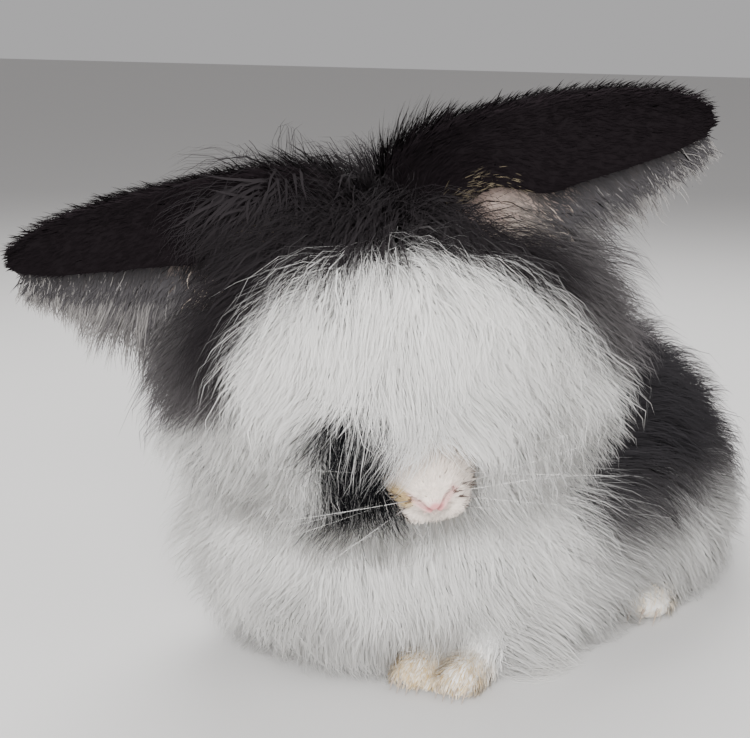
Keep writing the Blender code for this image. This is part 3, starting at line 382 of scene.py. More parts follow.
def clear_muzzle(points):
    """Parts the wool round the muzzle."""
    local = to_head(points)
    side, rise = local[..., 1] - 1.0, local[..., 2] + 5.0
    out = np.maximum(np.hypot(side, rise), 1e-6)
    ahead = smooth(16.0, 31.0, local[..., 0])
    room = np.where(side < 0.0, 11.5, 15.0) + 17.0 * np.clip(rise / out, 0.0, 1.0)
    push = np.where(out < room, room / out, 1.0) - 1.0
    local[..., 1] += side * push * ahead
    local[..., 2] += rise * push * ahead
    return on_head(local)


def ear_line(side, share):
    """Gives places on an ear's middle line in the model."""
    root, bend, tip = (np.array(p[side]) for p in (EAR_ROOT, EAR_BEND, EAR_TIP))
    s = np.asarray(share, dtype=float)[..., None]
    return on_head((1.0 - s) ** 2 * root + 2.0 * s * (1.0 - s) * (bend * 1.15 - tip * 0.15) + s * s * tip)


def ear_skin(side, share, swing, lift=0.0):
    """Gives places on an ear: share runs from root to tip, swing from the front rim to the rear rim."""
    share, swing = np.broadcast_arrays(np.asarray(share, dtype=float), np.asarray(swing, dtype=float))
    middle = ear_line(side, share)
    along = unit(ear_line(side, np.minimum(share + 0.02, 1.02)) - ear_line(side, share - 0.02))
    upward = unit(-DOWN - along * (along @ -DOWN)[..., None])
    front = np.cross(along, upward) * (1.0 if side == "left" else -1.0)
    tilt = math.radians(12.0)
    upward, front = (upward * math.cos(tilt) - front * math.sin(tilt), front * math.cos(tilt)
                     + upward * math.sin(tilt))
    shares = [s[0] for s in EAR_SECTIONS]
    high = EAR_HEIGHT[side] * np.interp(share, shares, [s[1] for s in EAR_SECTIONS])[..., None]
    deep = np.interp(share, shares, [s[2] for s in EAR_SECTIONS])[..., None]
    opened = 0.19 * smooth(0.1, 0.22, share) * (1.0 - smooth(0.38, 0.6, share))
    turn = np.where(swing < 0.0, swing * (1.0 - opened), swing)[..., None] * math.pi / 2.0
    rise = 2.0 * high * np.cos(turn) - high - 9.0 * np.clip(swing, 0.0, 1.0)[..., None] ** 2 * high / 14.0
    depth = -deep * np.sign(turn) * np.abs(np.sin(turn)) ** 0.8
    outward = unit(upward * np.cos(turn) * 0.6 - front * np.sin(turn))
    return middle + upward * rise + front * depth + outward * lift


def grow(shell, roots, steps, travel, level, lie, sway, keep=()):
    """Grows guides that leave the skin, rise through the coat and bend over along its lie."""
    points = roots
    guide = [points]
    weights = np.linspace(0.55, 1.45, steps) / steps
    for k in range(steps):
        share = (k + 1.0) / steps
        heading = unit(lie(points) + drift(points) + sway * (0.4 + share))
        points = points + heading * (travel * weights[k])[:, None]
        points = shell.place(points, level * (1.0 - (1.0 - share) ** 2.0))
        for rule in keep:
            points = rule(points)
        points = off_floor(points)
        guide.append(points)
    return np.stack(guide, axis=1)


def spread(guides, per, width, clump, frizz, rng, out):
    """Makes the strands of each tuft round its guide, drawn together towards the tip."""
    count, steps, _ = guides.shape
    drawn = np.clip(clump * rng.uniform(0.3, 1.5, count), 0.0, 0.92)
    index = np.repeat(np.arange(count), per)
    base = guides[index]
    total = len(index)
    share = np.linspace(0.0, 1.0, steps)
    reach = rng.uniform(0.7, 1.04, total)
    at = np.clip(share[None, :] * reach[:, None] * (steps - 1), 0.0, steps - 1.0001)
    low = at.astype(int)
    part = (at - low)[..., None]
    rows = np.arange(total)[:, None]
    curve = base[rows, low] * (1.0 - part) + base[rows, low + 1] * part
    offset = rng.normal(size=(total, 3)) * width
    away = out[index]
    offset -= away * ((offset * away).sum(axis=1, keepdims=True) * 0.6)
    fade = 1.0 - drawn[index][:, None] * share[None, :] ** 0.7
    curve = curve + offset[:, None, :] * fade[..., None]
    wave = rng.normal(size=(total, 3)) * frizz
    phase = rng.uniform(0.0, 2.0 * math.pi, total)
    bend = np.sin(share[None, :] * 5.5 + phase[:, None]) - np.sin(phase)[:, None]
    curve = curve + wave[:, None, :] * (bend * share[None, :] ** 0.5)[..., None]
    return off_floor(curve), index


def ribbons(spines, width, out, rng, roll=0.55, firm=0.3):
    """Turns spines into flat tapered blades: vertices, their normals and each one's share of length."""
    total, steps, _ = spines.shape
    along = unit(np.gradient(spines, axis=1))
    facing = unit(out + rng.normal(size=(total, 3)) * roll)[:, None, :]
    side = unit(np.cross(along, facing))
    flat = np.cross(side, along)
    share = np.linspace(0.0, 1.0, steps)
    taper = np.interp(share, [0.0, 0.3, 0.75, 1.0], [0.75, 1.0, 0.7, 0.0])
    half = side * (width[:, None] * taper[None, :] / 2.0)[..., None]
    left, right = spines - half, spines + half
    pairs = np.stack([left, right], axis=2)[:, :-1].reshape(total, 2 * (steps - 1), 3)
    vertices = np.concatenate([pairs, spines[:, -1:]], axis=1)
    firm = np.broadcast_to(firm, total)[:, None, None]
    soft = unit(flat * firm + out[:, None, :] * (1.0 - firm))
    normals = np.repeat(soft[:, :-1], 2, axis=1)
    normals = np.concatenate([normals, soft[:, -1:]], axis=1)
    shares = np.concatenate([np.repeat(share[:-1], 2), share[-1:]])
    sides = np.concatenate([np.tile([-1.0, 1.0], steps - 1), [0.0]])
    return vertices, normals, shares, sides


def blade_faces(steps):
    """Gives the triangles of one blade."""
    faces = []
    for i in range(steps - 2):
        a = 2 * i
        faces += [(a, a + 1, a + 3), (a, a + 3, a + 2)]
    last = 2 * (steps - 2)
    faces.append((last, last + 1, last + 2))
    return np.array(faces)


# Triangles allowed in one coat piece, and the size of a tuft's patch on the map
TUFT_LIMIT = 190000
TUFT_PATCH = 0.003


def coat_piece(name, spines, width, out, root_uv, colours, material, rng, nodes, roll=0.55, firm=0.3):
    """Makes coat pieces from spines, each below the limit of faces, with colours and the map."""
    steps = spines.shape[1]
    faces = blade_faces(steps)
    per_piece = TUFT_LIMIT // len(faces)
    order = rng.permutation(len(spines))
    pieces = math.ceil(len(spines) / per_piece)
    for number, chosen in enumerate(np.array_split(order, pieces)):
        facing = firm if np.isscalar(firm) else firm[chosen]
        vertices, normals, shares, sides = ribbons(spines[chosen], width[chosen], out[chosen], rng, roll,
                                                   facing)
        total, corners = len(chosen), len(shares)
        index = (faces[None] + (np.arange(total) * corners)[:, None, None]).reshape(-1)
        mesh = bpy.data.meshes.new(name)
        mesh.vertices.add(total * corners)
        mesh.vertices.foreach_set("co", (vertices * MM).reshape(-1))
        mesh.loops.add(len(index))
        mesh.loops.foreach_set("vertex_index", index)
        mesh.polygons.add(len(index) // 3)
        mesh.polygons.foreach_set("loop_start", np.arange(0, len(index), 3))
        mesh.polygons.foreach_set("use_smooth", np.ones(len(index) // 3, dtype=bool))
        mesh.update(calc_edges=True)
        patch = np.stack([sides, shares * 2.0 - 1.0], axis=-1)[None] * TUFT_PATCH / 2.0
        uv = root_uv[chosen][:, None, :] + patch
        layer = mesh.uv_layers.new(name="OFBake")
        layer.data.foreach_set("uv", uv.reshape(-1, 2)[index].reshape(-1))
        root, tip = colours[0][chosen][:, None, :], colours[1][chosen][:, None, :]
        rise = (shares**1.3)[None, :, None]
        shade = np.ones((total, corners, 4))
        shade[..., :3] = root * (1.0 - rise) + tip * rise
        attribute = mesh.color_attributes.new(name="coat", type="FLOAT_COLOR", domain="POINT")
        attribute.data.foreach_set("color", shade.reshape(-1))
        mesh.normals_split_custom_set_from_vertices(normals.reshape(-1, 3))
        mesh.materials.append(material)
        piece = bpy.data.objects.new(name if pieces == 1 else name + "_" + str(number + 1), mesh)
        bpy.context.scene.collection.objects.link(piece)
        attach(piece, "root")
        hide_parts(*nodes)


def coat_material(name, roughness, sheen, lets_through=0.0, gloss=0.12):
    """Makes the material of wool or fur, coloured by its tufts with fine mottling."""
    material = bpy.data.materials.new(name)
    material.use_nodes = True
    nodes, links = material.node_tree.nodes, material.node_tree.links
    shader = nodes["Principled BSDF"]
    colour = nodes.new("ShaderNodeAttribute")
    colour.attribute_name = "coat"
    place = nodes.new("ShaderNodeTexCoord")
    noise = nodes.new("ShaderNodeTexNoise")
    noise.inputs["Scale"].default_value = 260.0
    noise.inputs["Detail"].default_value = 3.0
    links.new(place.outputs["Object"], noise.inputs["Vector"])
    spread_of = nodes.new("ShaderNodeMapRange")
    spread_of.inputs["From Min"].default_value = 0.3
    spread_of.inputs["From Max"].default_value = 0.7
    spread_of.inputs["To Min"].default_value = 0.93
    spread_of.inputs["To Max"].default_value = 1.04
    links.new(noise.outputs["Fac"], spread_of.inputs["Value"])
    tint = nodes.new("ShaderNodeVectorMath")
    tint.operation = "SCALE"
    links.new(colour.outputs["Color"], tint.inputs[0])
    links.new(spread_of.outputs["Result"], tint.inputs["Scale"])
    links.new(tint.outputs["Vector"], shader.inputs["Base Color"])
    shader.inputs["Roughness"].default_value = roughness
    shader.inputs["Specular IOR Level"].default_value = gloss
    shader.inputs["Sheen Weight"].default_value = sheen
    shader.inputs["Sheen Roughness"].default_value = 0.5
    if lets_through:
        through = nodes.new("ShaderNodeBsdfTranslucent")
        both = nodes.new("ShaderNodeMixShader")
        both.inputs["Fac"].default_value = lets_through
        links.new(tint.outputs["Vector"], through.inputs["Color"])
        links.new(shader.outputs["BSDF"], both.inputs[1])
        links.new(through.outputs["BSDF"], both.inputs[2])
        links.new(both.outputs["Shader"], nodes["Material Output"].inputs["Surface"])
    return material


def skull_surface(directions):
    """Gives how far the bare head reaches from its middle in each direction on the head's axes."""
    middle = np.array(SKULL_MIDDLE)
    forward = [s[0] for s in SKULL_SECTIONS]
    low, high = np.zeros(len(directions)), np.full(len(directions), 70.0)
    for _ in range(SKULL_HALVINGS):
        reach = (low + high) / 2.0
        place = middle + directions * reach[:, None]
        half = np.interp(place[:, 0], forward, [s[1] for s in SKULL_SECTIONS])
        top = np.interp(place[:, 0], forward, [s[2] for s in SKULL_SECTIONS])
        bottom = np.interp(place[:, 0], forward, [s[3] for s in SKULL_SECTIONS])
        across = np.hypot(place[:, 1] / half, (place[:, 2] - (top + bottom) / 2.0) / ((top - bottom) / 2.0))
        beyond = np.maximum(place[:, 0] - forward[-1], forward[0] - place[:, 0])
        fields = [across + np.clip(beyond, 0.0, None) * 9.0]
        for x, y, z, a, b, c in SKULL_PADS:
            fields.append(np.linalg.norm((place - (x, y, z)) / (a, b, c), axis=1))
        together = -np.log(np.sum([np.exp(-PAD_BLEND * (f - 1.0)) for f in fields], axis=0)) / PAD_BLEND
        inside = together < 0.0
        low, high = np.where(inside, reach, low), np.where(inside, high, reach)
    return middle, low


def line_distance(places, line):
    """Gives the distance of places from a broken line."""
    best = np.full(len(places), 1e9)
    for a, b in zip(line, line[1:]):
        a, b = np.array(a), np.array(b)
        share = np.clip(((places - a) @ (b - a)) / ((b - a) @ (b - a)), 0.0, 1.0)
        best = np.minimum(best, np.linalg.norm(places - a - share[:, None] * (b - a), axis=1))
    return best


def both_sides(places, line):
    """Gives the distance of places from a broken line or its mirror image, whichever is nearer."""
    return np.minimum(line_distance(places, line), line_distance(places * (1.0, -1.0, 1.0), line))


def nose_distance(places):
    """Gives how far places lie from the nose's bare spot, in its own half sizes."""
    return np.linalg.norm((places - NOSE_SPOT) / NOSE_SPOT_HALF, axis=1)


# Lines and spots of the face on the head's axes
MOUTH_LINE = ((50.0, 0.0, -13.2), (47.0, 6.0, -14.8), (39.0, 12.5, -13.6), (31.0, 16.5, -12.4))
WHISKER_ROOTS = ((47.5, 7.3, 0.9), (44.6, 10.3, 0.0), (40.3, 12.6, -0.4), (37.2, 12.2, 3.3),
                 (47.3, 9.0, -3.1), (43.5, 11.4, -3.6), (48.3, 9.5, -7.6), (45.2, 11.4, -8.3),
                 (41.5, 12.4, -6.5))
NOSTRIL_LINE = ((51.6, 0.5, -1.6), (50.6, 3.6, 0.2), (47.6, 7.2, 2.4))
CLEFT_LINE = ((52.0, 0.0, -3.0), (52.5, 0.0, -8.0), (50.5, 0.0, -13.2))
NOSE_SPOT, NOSE_SPOT_HALF = (52.0, 0.3, -0.7), (2.0, 1.25, 1.0)
STAIN_SPOT, STAIN_HALF = (45.3, -9.3, 0.4), (6.0, 4.2, 4.6)


def head_carving(places):
    """Gives the depth of folds, nostrils, cleft, mouth and lids at places on the head's axes."""
    mirrored = places * (1.0, -1.0, 1.0)
    carve = np.zeros(len(places))
    for at in (places, mirrored):
        carve -= 1.7 * np.exp(-(line_distance(at, MOUTH_LINE) / 1.0) ** 2)
        carve += 0.6 * np.exp(-(line_distance(at, np.array(MOUTH_LINE) + (0.0, 0.0, 2.4)) / 1.3) ** 2)
        carve -= 2.1 * np.exp(-(line_distance(at, NOSTRIL_LINE) / 0.85) ** 2)
        carve += 0.7 * np.exp(-(line_distance(at, np.array(NOSTRIL_LINE) + (0.0, 0.4, 2.0)) / 1.2) ** 2)
    ahead = smooth(43.0, 46.0, places[:, 0])
    carve -= 1.8 * ahead * np.exp(-(line_distance(places, CLEFT_LINE) / 1.0) ** 2)
    for sign in (1.0, -1.0):
        centre = np.array(EYE_PLACE) * (1.0, sign, 1.0)
        axis = unit(np.array(EYE_AXIS) * (1.0, sign, 1.0))
        forward = unit(np.array([1.0, 0.0, 0.0]) - axis * axis[0])
        upward = np.cross(axis, forward) * -sign
        offset = places - centre
        near = (offset @ axis) > 0.0
        ring = np.hypot(offset @ forward / 1.12, offset @ upward / 0.93)
        carve += near * (2.6 * np.exp(-((ring - 7.8) / 1.3) ** 2) - 5.0 * (1.0 - smooth(5.6, 7.0, ring)))
    return carve


def marks_on_head(places, wander=0.0):
    """Gives the coat's colour on the head, ruff and bib by the place in the outer coat."""
    settings = bpy.context.scene.rabbit
    q = unit((places - HEAD_COAT.centre) @ HEAD / HEAD_COAT.outer)
    lower = np.clip(0.35 - q[..., 2], 0.0, None) * smooth(-0.75, -0.1, q[..., 0])
    lower = lower * (1.0 - 0.8 * smooth(0.3, 0.7, q[..., 1]))
    cheek = 0.22 * smooth(0.2, 0.7, -q[..., 1]) + 0.07 * smooth(0.5, 0.85, q[..., 2])
    face = q[..., 0] - (-0.03 + 0.42 * q[..., 1] ** 2 + 0.06 * q[..., 1] + cheek - 0.9 * lower) + wander
    white = smooth(-0.10, 0.07, face)
    crown = smooth(0.35, 0.68, q[..., 2])
    dark = mix(settings.grey_wool, settings.flank_wool, 0.75 * smooth(0.25, 0.8, -q[..., 0]))
    dark = mix(dark, settings.crown_wool, crown)
    colour = mix(dark, settings.white_wool, white)
    slant = q[..., 1] + 0.24 - 0.25 * np.minimum(q[..., 2], 0.0)
    patch = (slant / 0.235) ** 2 + ((q[..., 2] - 0.07) / 0.54) ** 2 + wander * 6.0
    ticked = mix(settings.patch_wool, settings.white_wool, 0.45 * smooth(0.035, 0.05, wander))
    return mix(colour, ticked, (q[..., 0] > 0.0) * (1.0 - smooth(0.65, 1.25, patch)))


def marks_on_body(places, wander=0.0):
    """Gives the coat's colour on the torso, haunches and tail by the place in the outer coat."""
    settings = bpy.context.scene.rabbit
    back = places[..., 1] + 60.0 - 0.25 * (places[..., 2] - 60.0) + wander * 200.0
    dark = smooth(-14.0, 14.0, back) * smooth(38.0, 62.0, places[..., 2] + wander * 120.0)
    deep = smooth(46.0, 76.0, places[..., 2]) * (1.0 - 0.5 * smooth(98.0, 124.0, places[..., 2]))
    # Painted shade: the white wool darkens by up to 22 per cent towards the rear and the lower flank.
    shaded_white = np.array(settings.white_wool) * (1.0 - 0.22 * smooth(-14.0, 30.0, back))[..., None]
    return mix(shaded_white, mix(settings.grey_wool, settings.flank_wool, deep), dark)


class RabbitSettings(bpy.types.PropertyGroup):
    """Sizes and colours that a user would change."""

    tufts: FloatProperty(name="Tuft density", description="Share of the full number of tufts", default=1.0,
                         min=0.05, max=1.5, subtype="FACTOR")
    strand_width: FloatProperty(name="Strand width", default=0.23, min=0.1, max=2.0,
                                description="Width of one strand of wool in millimetres")
    whisker_length: FloatProperty(name="Whisker length", default=54.0, min=20.0, max=90.0,
                                  description="Length of the longest whiskers in millimetres")
    white_wool: FloatVectorProperty(name="White wool", description="Colour of face, ruff and chest",
                                    default=(0.86, 0.85, 0.83), size=3, subtype="COLOR")
    grey_wool: FloatVectorProperty(name="Grey wool", description="Colour of the paler dark wool",
                                   default=(0.14, 0.13, 0.132), size=3, subtype="COLOR")
    crown_wool: FloatVectorProperty(name="Crown wool", description="Colour of the wool between the ears",
                                    default=(0.030, 0.026, 0.028), size=3, subtype="COLOR")
    flank_wool: FloatVectorProperty(name="Flank wool", description="Colour of back and flanks",
                                    default=(0.046, 0.043, 0.047), size=3, subtype="COLOR")
    patch_wool: FloatVectorProperty(name="Muzzle patch", default=(0.010, 0.010, 0.012), size=3,
                                    description="Colour of the dark patch beside the nose", subtype="COLOR")
    ear_velvet: FloatVectorProperty(name="Ear velvet", description="Colour of the ears' short fur",
                                    default=(0.006, 0.0045, 0.0052), size=3, subtype="COLOR")
    ear_lining: FloatVectorProperty(name="Ear lining", description="Colour of the skin inside the ears",
                                    default=(0.40, 0.31, 0.27), size=3, subtype="COLOR")
    nose_pink: FloatVectorProperty(name="Nose", description="Colour of the bare skin of the nose",
                                   default=(0.50, 0.22, 0.22), size=3, subtype="COLOR")
    stain: FloatVectorProperty(name="Stain", description="Colour of the yellowed fur on muzzle and paws",
                               default=(0.52, 0.36, 0.14), size=3, subtype="COLOR")
    iris: FloatVectorProperty(name="Iris", description="Colour of the iris",
                              default=(0.10, 0.045, 0.02), size=3, subtype="COLOR")
    light: FloatProperty(name="Light", description="Strength of the main light in watts", default=16.0,
                         min=0.0, max=100.0, subtype="POWER", unit="POWER")


def closed_mesh(name, loops, ends):
    """Makes a closed object from a row of equal loops and a point at each end."""
    count = len(loops[0])
    corners = [p for loop in loops for p in loop] + list(ends)
    faces = []
    for i in range(len(loops) - 1):
        for k in range(count):
            j = (k + 1) % count
            faces.append((i * count + k, i * count + j, (i + 1) * count + j, (i + 1) * count + k))
    first, last, base = len(corners) - 2, len(corners) - 1, (len(loops) - 1) * count
    for k in range(count):
        j = (k + 1) % count
        faces += [(first, j, k), (last, base + k, base + j)]
    mesh = bpy.data.meshes.new(name)
    mesh.from_pydata([tuple(float(c) * MM for c in p) for p in corners], [], faces)
    shaped = bmesh.new()
    shaped.from_mesh(mesh)
    bmesh.ops.recalc_face_normals(shaped, faces=shaped.faces)
    shaped.to_mesh(mesh)
    shaped.free()
    mesh.shade_smooth()
    made = bpy.data.objects.new(name, mesh)
    bpy.context.scene.collection.objects.link(made)
    return made


def oval_body(name, centre, half, axes=None, around=40, rings=24):
    """Makes a closed ellipsoid."""
    axes = np.eye(3) if axes is None else axes
    loops = []
    for i in range(1, rings):
        polar = math.pi * i / rings - math.pi / 2.0
        turn = np.linspace(0.0, 2.0 * math.pi, around, endpoint=False)
        local = np.stack([math.cos(polar) * np.cos(turn), math.cos(polar) * np.sin(turn),
                          np.full(around, math.sin(polar))], axis=1) * half
        loops.append(np.asarray(centre) + local @ axes.T)
    ends = [np.asarray(centre) + axes @ (np.array([0.0, 0.0, s]) * half) for s in (-1.0, 1.0)]
    return closed_mesh(name, loops, ends)


def tube_body(name, path, radii, flat=1.0, around=20, up=(0.0, 0.0, 1.0)):
    """Makes a closed tube of oval sections along a path."""
    path = np.asarray(path, dtype=float)
    loops = []
    for i, radius in enumerate(radii):
        along = unit(path[min(i + 1, len(path) - 1)] - path[max(i - 1, 0)])
        across = unit(np.cross(along, up))
        out = np.cross(across, along)
        turn = np.linspace(0.0, 2.0 * math.pi, around, endpoint=False)[:, None]
        loops.append(path[i] + across * radius * np.cos(turn) + out * radius * flat * np.sin(turn))
    first = path[0] - unit(path[1] - path[0]) * radii[0] * CAP_SHARE
    last = path[-1] + unit(path[-1] - path[-2]) * radii[-1] * CAP_SHARE
    return closed_mesh(name, loops, [first, last])


def foreleg_path(side):
    """Gives the middle line and radii of a foreleg from the toes into the chest."""
    x, y = PAW_TOES[side]
    top = np.array(FORELEG_TOP[side])
    low = PAW_HEIGHT * 0.42
    path = [(x, y + 1.0, low * 0.85), (x, y + 5.0, low), (x, y + 14.0, low * 1.05), (x, y + 24.0, low * 1.5),
            tuple((np.array([x, y + 30.0, 20.0]) + top) / 2.0), tuple(top)]
    return path, [PAW_HALF_WIDTH * r for r in (0.6, 0.9, 1.0, 1.0, 1.15, 1.2)]


def hind_foot_path(side):
    """Gives the middle line and radii of a hind foot from the heel to the toes."""
    sign = 1.0 if side == "left" else -1.0
    heel = np.array([sign * HIND_HEEL[0], HIND_HEEL[1], HIND_FOOT_HEIGHT * 0.42])
    toe = np.array([sign * HIND_TOE[0], HIND_TOE[1] + 1.5, HIND_FOOT_HEIGHT * 0.36])
    path = [tuple(heel + (toe - heel) * s) for s in (0.0, 0.08, 0.3, 0.6, 0.85, 0.96, 1.0)]
    return path, [HIND_FOOT_HALF_WIDTH * r for r in (0.5, 0.8, 0.85, 0.95, 1.0, 0.8, 0.5)]


def tail_path():
    """Gives the middle line and radii of the tail from root to tip."""
    root, tip = np.array(TAIL_ROOT), np.array(TAIL_TIP)
    path = [root + (tip - root) * s for s in (0.0, 0.3, 0.6, 0.85, 1.0)]
    return path, [TAIL_RADIUS * r for r in (0.9, 1.0, 1.0, 0.8, 0.4)]


def toes(side):
    """Gives the middles and half sizes of the toes of a forepaw and a hind foot."""
    x, y = PAW_TOES[side]
    found = [((x + step, y + 3.0 + abs(step) * 0.35, 4.4), PAW_TOE_HALF) for step in PAW_TOE_STEPS]
    x, y = HIND_TOE
    x = x if side == "left" else -x
    found += [((x + step, y + 6.0 + abs(step) * 0.45, 5.0), HIND_TOE_HALF) for step in HIND_TOE_STEPS]
    return found


def skin_roots(count, rng, chosen):
    """Gives random places on the skin where a rule holds, with the outward directions there."""
    mesh = bpy.data.objects["skin"].data
    mesh.calc_loop_triangles()
    corners = np.empty(len(mesh.loop_triangles) * 3, dtype=np.int32)
    mesh.loop_triangles.foreach_get("vertices", corners)
    corners = places_of(mesh)[corners.reshape(-1, 3)]
    corners = corners[chosen(corners.mean(axis=1))]
    across, along = corners[:, 1] - corners[:, 0], corners[:, 2] - corners[:, 0]
    facing = np.cross(across, along)
    area = np.linalg.norm(facing, axis=1)
    picked = rng.choice(len(corners), count, p=area / area.sum())
    one, two = rng.uniform(size=(2, count, 1))
    folded = one + two > 1.0
    one, two = np.where(folded, 1.0 - one, one), np.where(folded, 1.0 - two, two)
    return corners[picked, 0] + across[picked] * one + along[picked] * two, unit(facing[picked])


def near_line(path, room):
    """Gives a rule that holds within a distance of a broken line."""
    return lambda places: line_distance(places, path) < room


def paint(mesh, colours):
    """Stores a colour for each vertex of a mesh."""
    shade = np.ones((len(mesh.vertices), 4))
    shade[:, :3] = colours
    attribute = mesh.color_attributes.new(name="coat", type="FLOAT_COLOR", domain="POINT")
    attribute.data.foreach_set("color", shade.reshape(-1))


def join(pieces, material=None):
    """Joins pieces into the first one, with one material where it is given."""
    for piece in pieces:
        if material:
            piece.data.materials.clear()
            piece.data.materials.append(material)
    with bpy.context.temp_override(active_object=pieces[0], object=pieces[0], selected_objects=pieces,
                                   selected_editable_objects=pieces):
        bpy.ops.object.join()


def places_of(mesh):
    """Gives the vertices of a mesh in millimetres."""
    found = np.empty(len(mesh.vertices) * 3)
    mesh.vertices.foreach_get("co", found)
    return found.reshape(-1, 3) / MM


def body_skin():
    """Makes the skin of torso, neck, legs, tail and the back of the head as one surface."""
    bodies = []
    loops = []
    for y, half, top, shift in TORSO_SKIN:
        turn = np.linspace(0.0, 2.0 * math.pi, TRUNK_SIDES, endpoint=False)
        middle, high = (top + BELLY) / 2.0, (top - BELLY) / 2.0
        across, rise = shift + half * np.cos(turn), middle + high * np.sin(turn)
        loops.append(np.stack([across, np.full(TRUNK_SIDES, y), rise], axis=1))
    ends = [(row[3], row[0] + past, (row[2] + BELLY) / 2.0)
            for row, past in ((TORSO_SKIN[0], -3.0), (TORSO_SKIN[-1], 3.0))]
    bodies.append(closed_mesh("trunk", loops, ends))
    bodies.append(oval_body("wool_pad", HEAD_COAT.centre, HEAD_COAT.inner - 4.0, HEAD))
    head_end = on_head(NECK_END)
    foot = np.array(NECK_FOOT)
    neck = [foot + (head_end - foot) * s for s in (0.0, 0.3, 0.6, 1.0)]
    bodies.append(tube_body("neck", neck, NECK_RADII))
    for side, sign in (("left", 1.0), ("right", -1.0)):
        bodies.append(oval_body("haunch", np.array(HAUNCH_CENTRE) * (sign, 1.0, 1.0), np.array(HAUNCH_SKIN)))
        bodies.append(tube_body("foot", *hind_foot_path(side), flat=0.8))
        bodies.append(tube_body("paw", *foreleg_path(side), flat=0.92))
        bodies += [oval_body("toe", centre, np.array(half), None, 16, 10) for centre, half in toes(side)]
    bodies.append(tube_body("tail", *tail_path(), up=(1.0, 0.0, 0.0)))
    join(bodies)
    body = bodies[0]
    remesh = body.modifiers.new("fuse", "REMESH")
    remesh.mode = "VOXEL"
    remesh.voxel_size = SKIN_VOXEL * MM
    soften = body.modifiers.new("soften", "SMOOTH")
    soften.factor = 0.6
    soften.iterations = 5
    mesh = bpy.data.meshes.new_from_object(body.evaluated_get(bpy.context.evaluated_depsgraph_get()))
    body.modifiers.clear()
    body.data = mesh
    places = places_of(mesh)
    low = places[:, 2] < SKIN_LOWEST
    places[low, 2] = SKIN_LOWEST
    mesh.vertices.foreach_set("co", (places * MM).reshape(-1))
    body.name = "skin"
    nearer = HEAD_COAT.level(places) < 0.4
    colours = np.where(nearer[:, None], marks_on_head(places), marks_on_body(places))
    paint(mesh, colours)
    return body


def face_surface(rows=190, around=200):
    """Gives the grid of places of the bare head on its own axes, from nose to nape."""
    polar = math.pi * (np.linspace(0.004, 0.996, rows)) ** 1.6
    turn = np.linspace(0.0, 2.0 * math.pi, around, endpoint=False)
    p, t = np.meshgrid(polar, turn, indexing="ij")
    directions = np.stack([np.cos(p), np.sin(p) * np.cos(t), np.sin(p) * np.sin(t)], axis=-1).reshape(-1, 3)
    middle, reach = skull_surface(directions)
    places = middle + directions * reach[:, None]
    reach = reach + head_carving(places)
    return (middle + directions * reach[:, None]).reshape(rows, around, 3)


def face_skin():
    """Makes the bare head from nose to nape with its folds, lips, nostrils and lids."""
    loops = on_head(face_surface())
    ends = [loops[0].mean(axis=0), loops[-1].mean(axis=0)]
    face = closed_mesh("face", loops, ends)
    settings = bpy.context.scene.rabbit
    local = to_head(places_of(face.data))
    paint(face.data, face_colours(local, settings))
    return face


def face_colours(local, settings):
    """Gives the colours of muzzle, nose, lips and lids at places on the head's axes."""
    colours = np.tile(np.array(settings.white_wool) * 0.92, (len(local), 1))
    front = smooth(26.0, 40.0, local[:, 0])
    cream = np.array(settings.white_wool) * (0.90, 0.78, 0.69)
    colours = mix(colours, cream, front * 0.8)
    slit, mouth = both_sides(local, NOSTRIL_LINE), both_sides(local, MOUTH_LINE)
    cleft = line_distance(local, CLEFT_LINE)
    tip = nose_distance(local)
    colours = mix(colours, settings.nose_pink, 0.8 * (1.0 - smooth(0.8, 2.4, np.minimum(slit, cleft + 0.3))))
    colours = mix(colours, settings.nose_pink, 1.0 - smooth(1.9, 3.0, tip))
    # Painted shade in the nostril slits and in the crease of the mouth.
    colours = mix(colours, np.array(settings.nose_pink) * 0.3, 1.0 - smooth(0.4, 1.1, slit))
    colours = mix(colours, np.array(settings.nose_pink) * 0.5, 1.0 - smooth(0.5, 1.3, mouth))
    stain = np.linalg.norm((local - STAIN_SPOT) / STAIN_HALF, axis=1)
    colours = mix(colours, settings.stain, 0.85 * (1.0 - smooth(0.5, 1.1, stain)))
    for sign in (1.0, -1.0):
        eye = np.linalg.norm(local - np.array(EYE_PLACE) * (1.0, sign, 1.0), axis=1)
        colours = mix(colours, LID_COLOUR, 1.0 - smooth(9.4, 10.8, eye))
        for place in WHISKER_ROOTS:
            spot = np.linalg.norm(local - np.array(place) * (1.0, sign, 1.0), axis=1)
            colours = mix(colours, WHISKER_DOT, 0.9 * (1.0 - smooth(0.5, 1.1, spot)))
    return colours


def ear_shell(side):
    """Makes the skin of an ear as a thin closed shell."""
    shares = np.concatenate([np.linspace(0.0, 0.9, 46), np.linspace(0.915, 0.998, 10)])
    swings = np.linspace(-1.0, 1.0, 41)
    loops = []
    for share in shares:
        outer = ear_skin(side, np.full(41, share), swings, 0.8)
        inner = ear_skin(side, np.full(41, share), swings, -0.8)
        loops.append(np.concatenate([outer, inner[::-1]]))
    ends = [ear_line(side, np.array(0.0)), loops[-1].mean(axis=0)]
    ear = closed_mesh("ear_skin", loops, ends)
    settings = bpy.context.scene.rabbit
    dark = np.array(settings.ear_velvet)
    rim = 1.0 - smooth(-0.95, -0.6, swings)
    rows = []
    for share in shares:
        pale = mix(settings.ear_lining, EAR_SKIN_DARK, smooth(0.5, 0.75, share))
        rows += [np.tile(dark, (41, 1)), mix(np.tile(pale, (41, 1)), dark, rim)[::-1]]
    colours = np.concatenate(rows + [[settings.crown_wool, settings.ear_velvet]])
    paint(ear.data, colours)
    return ear


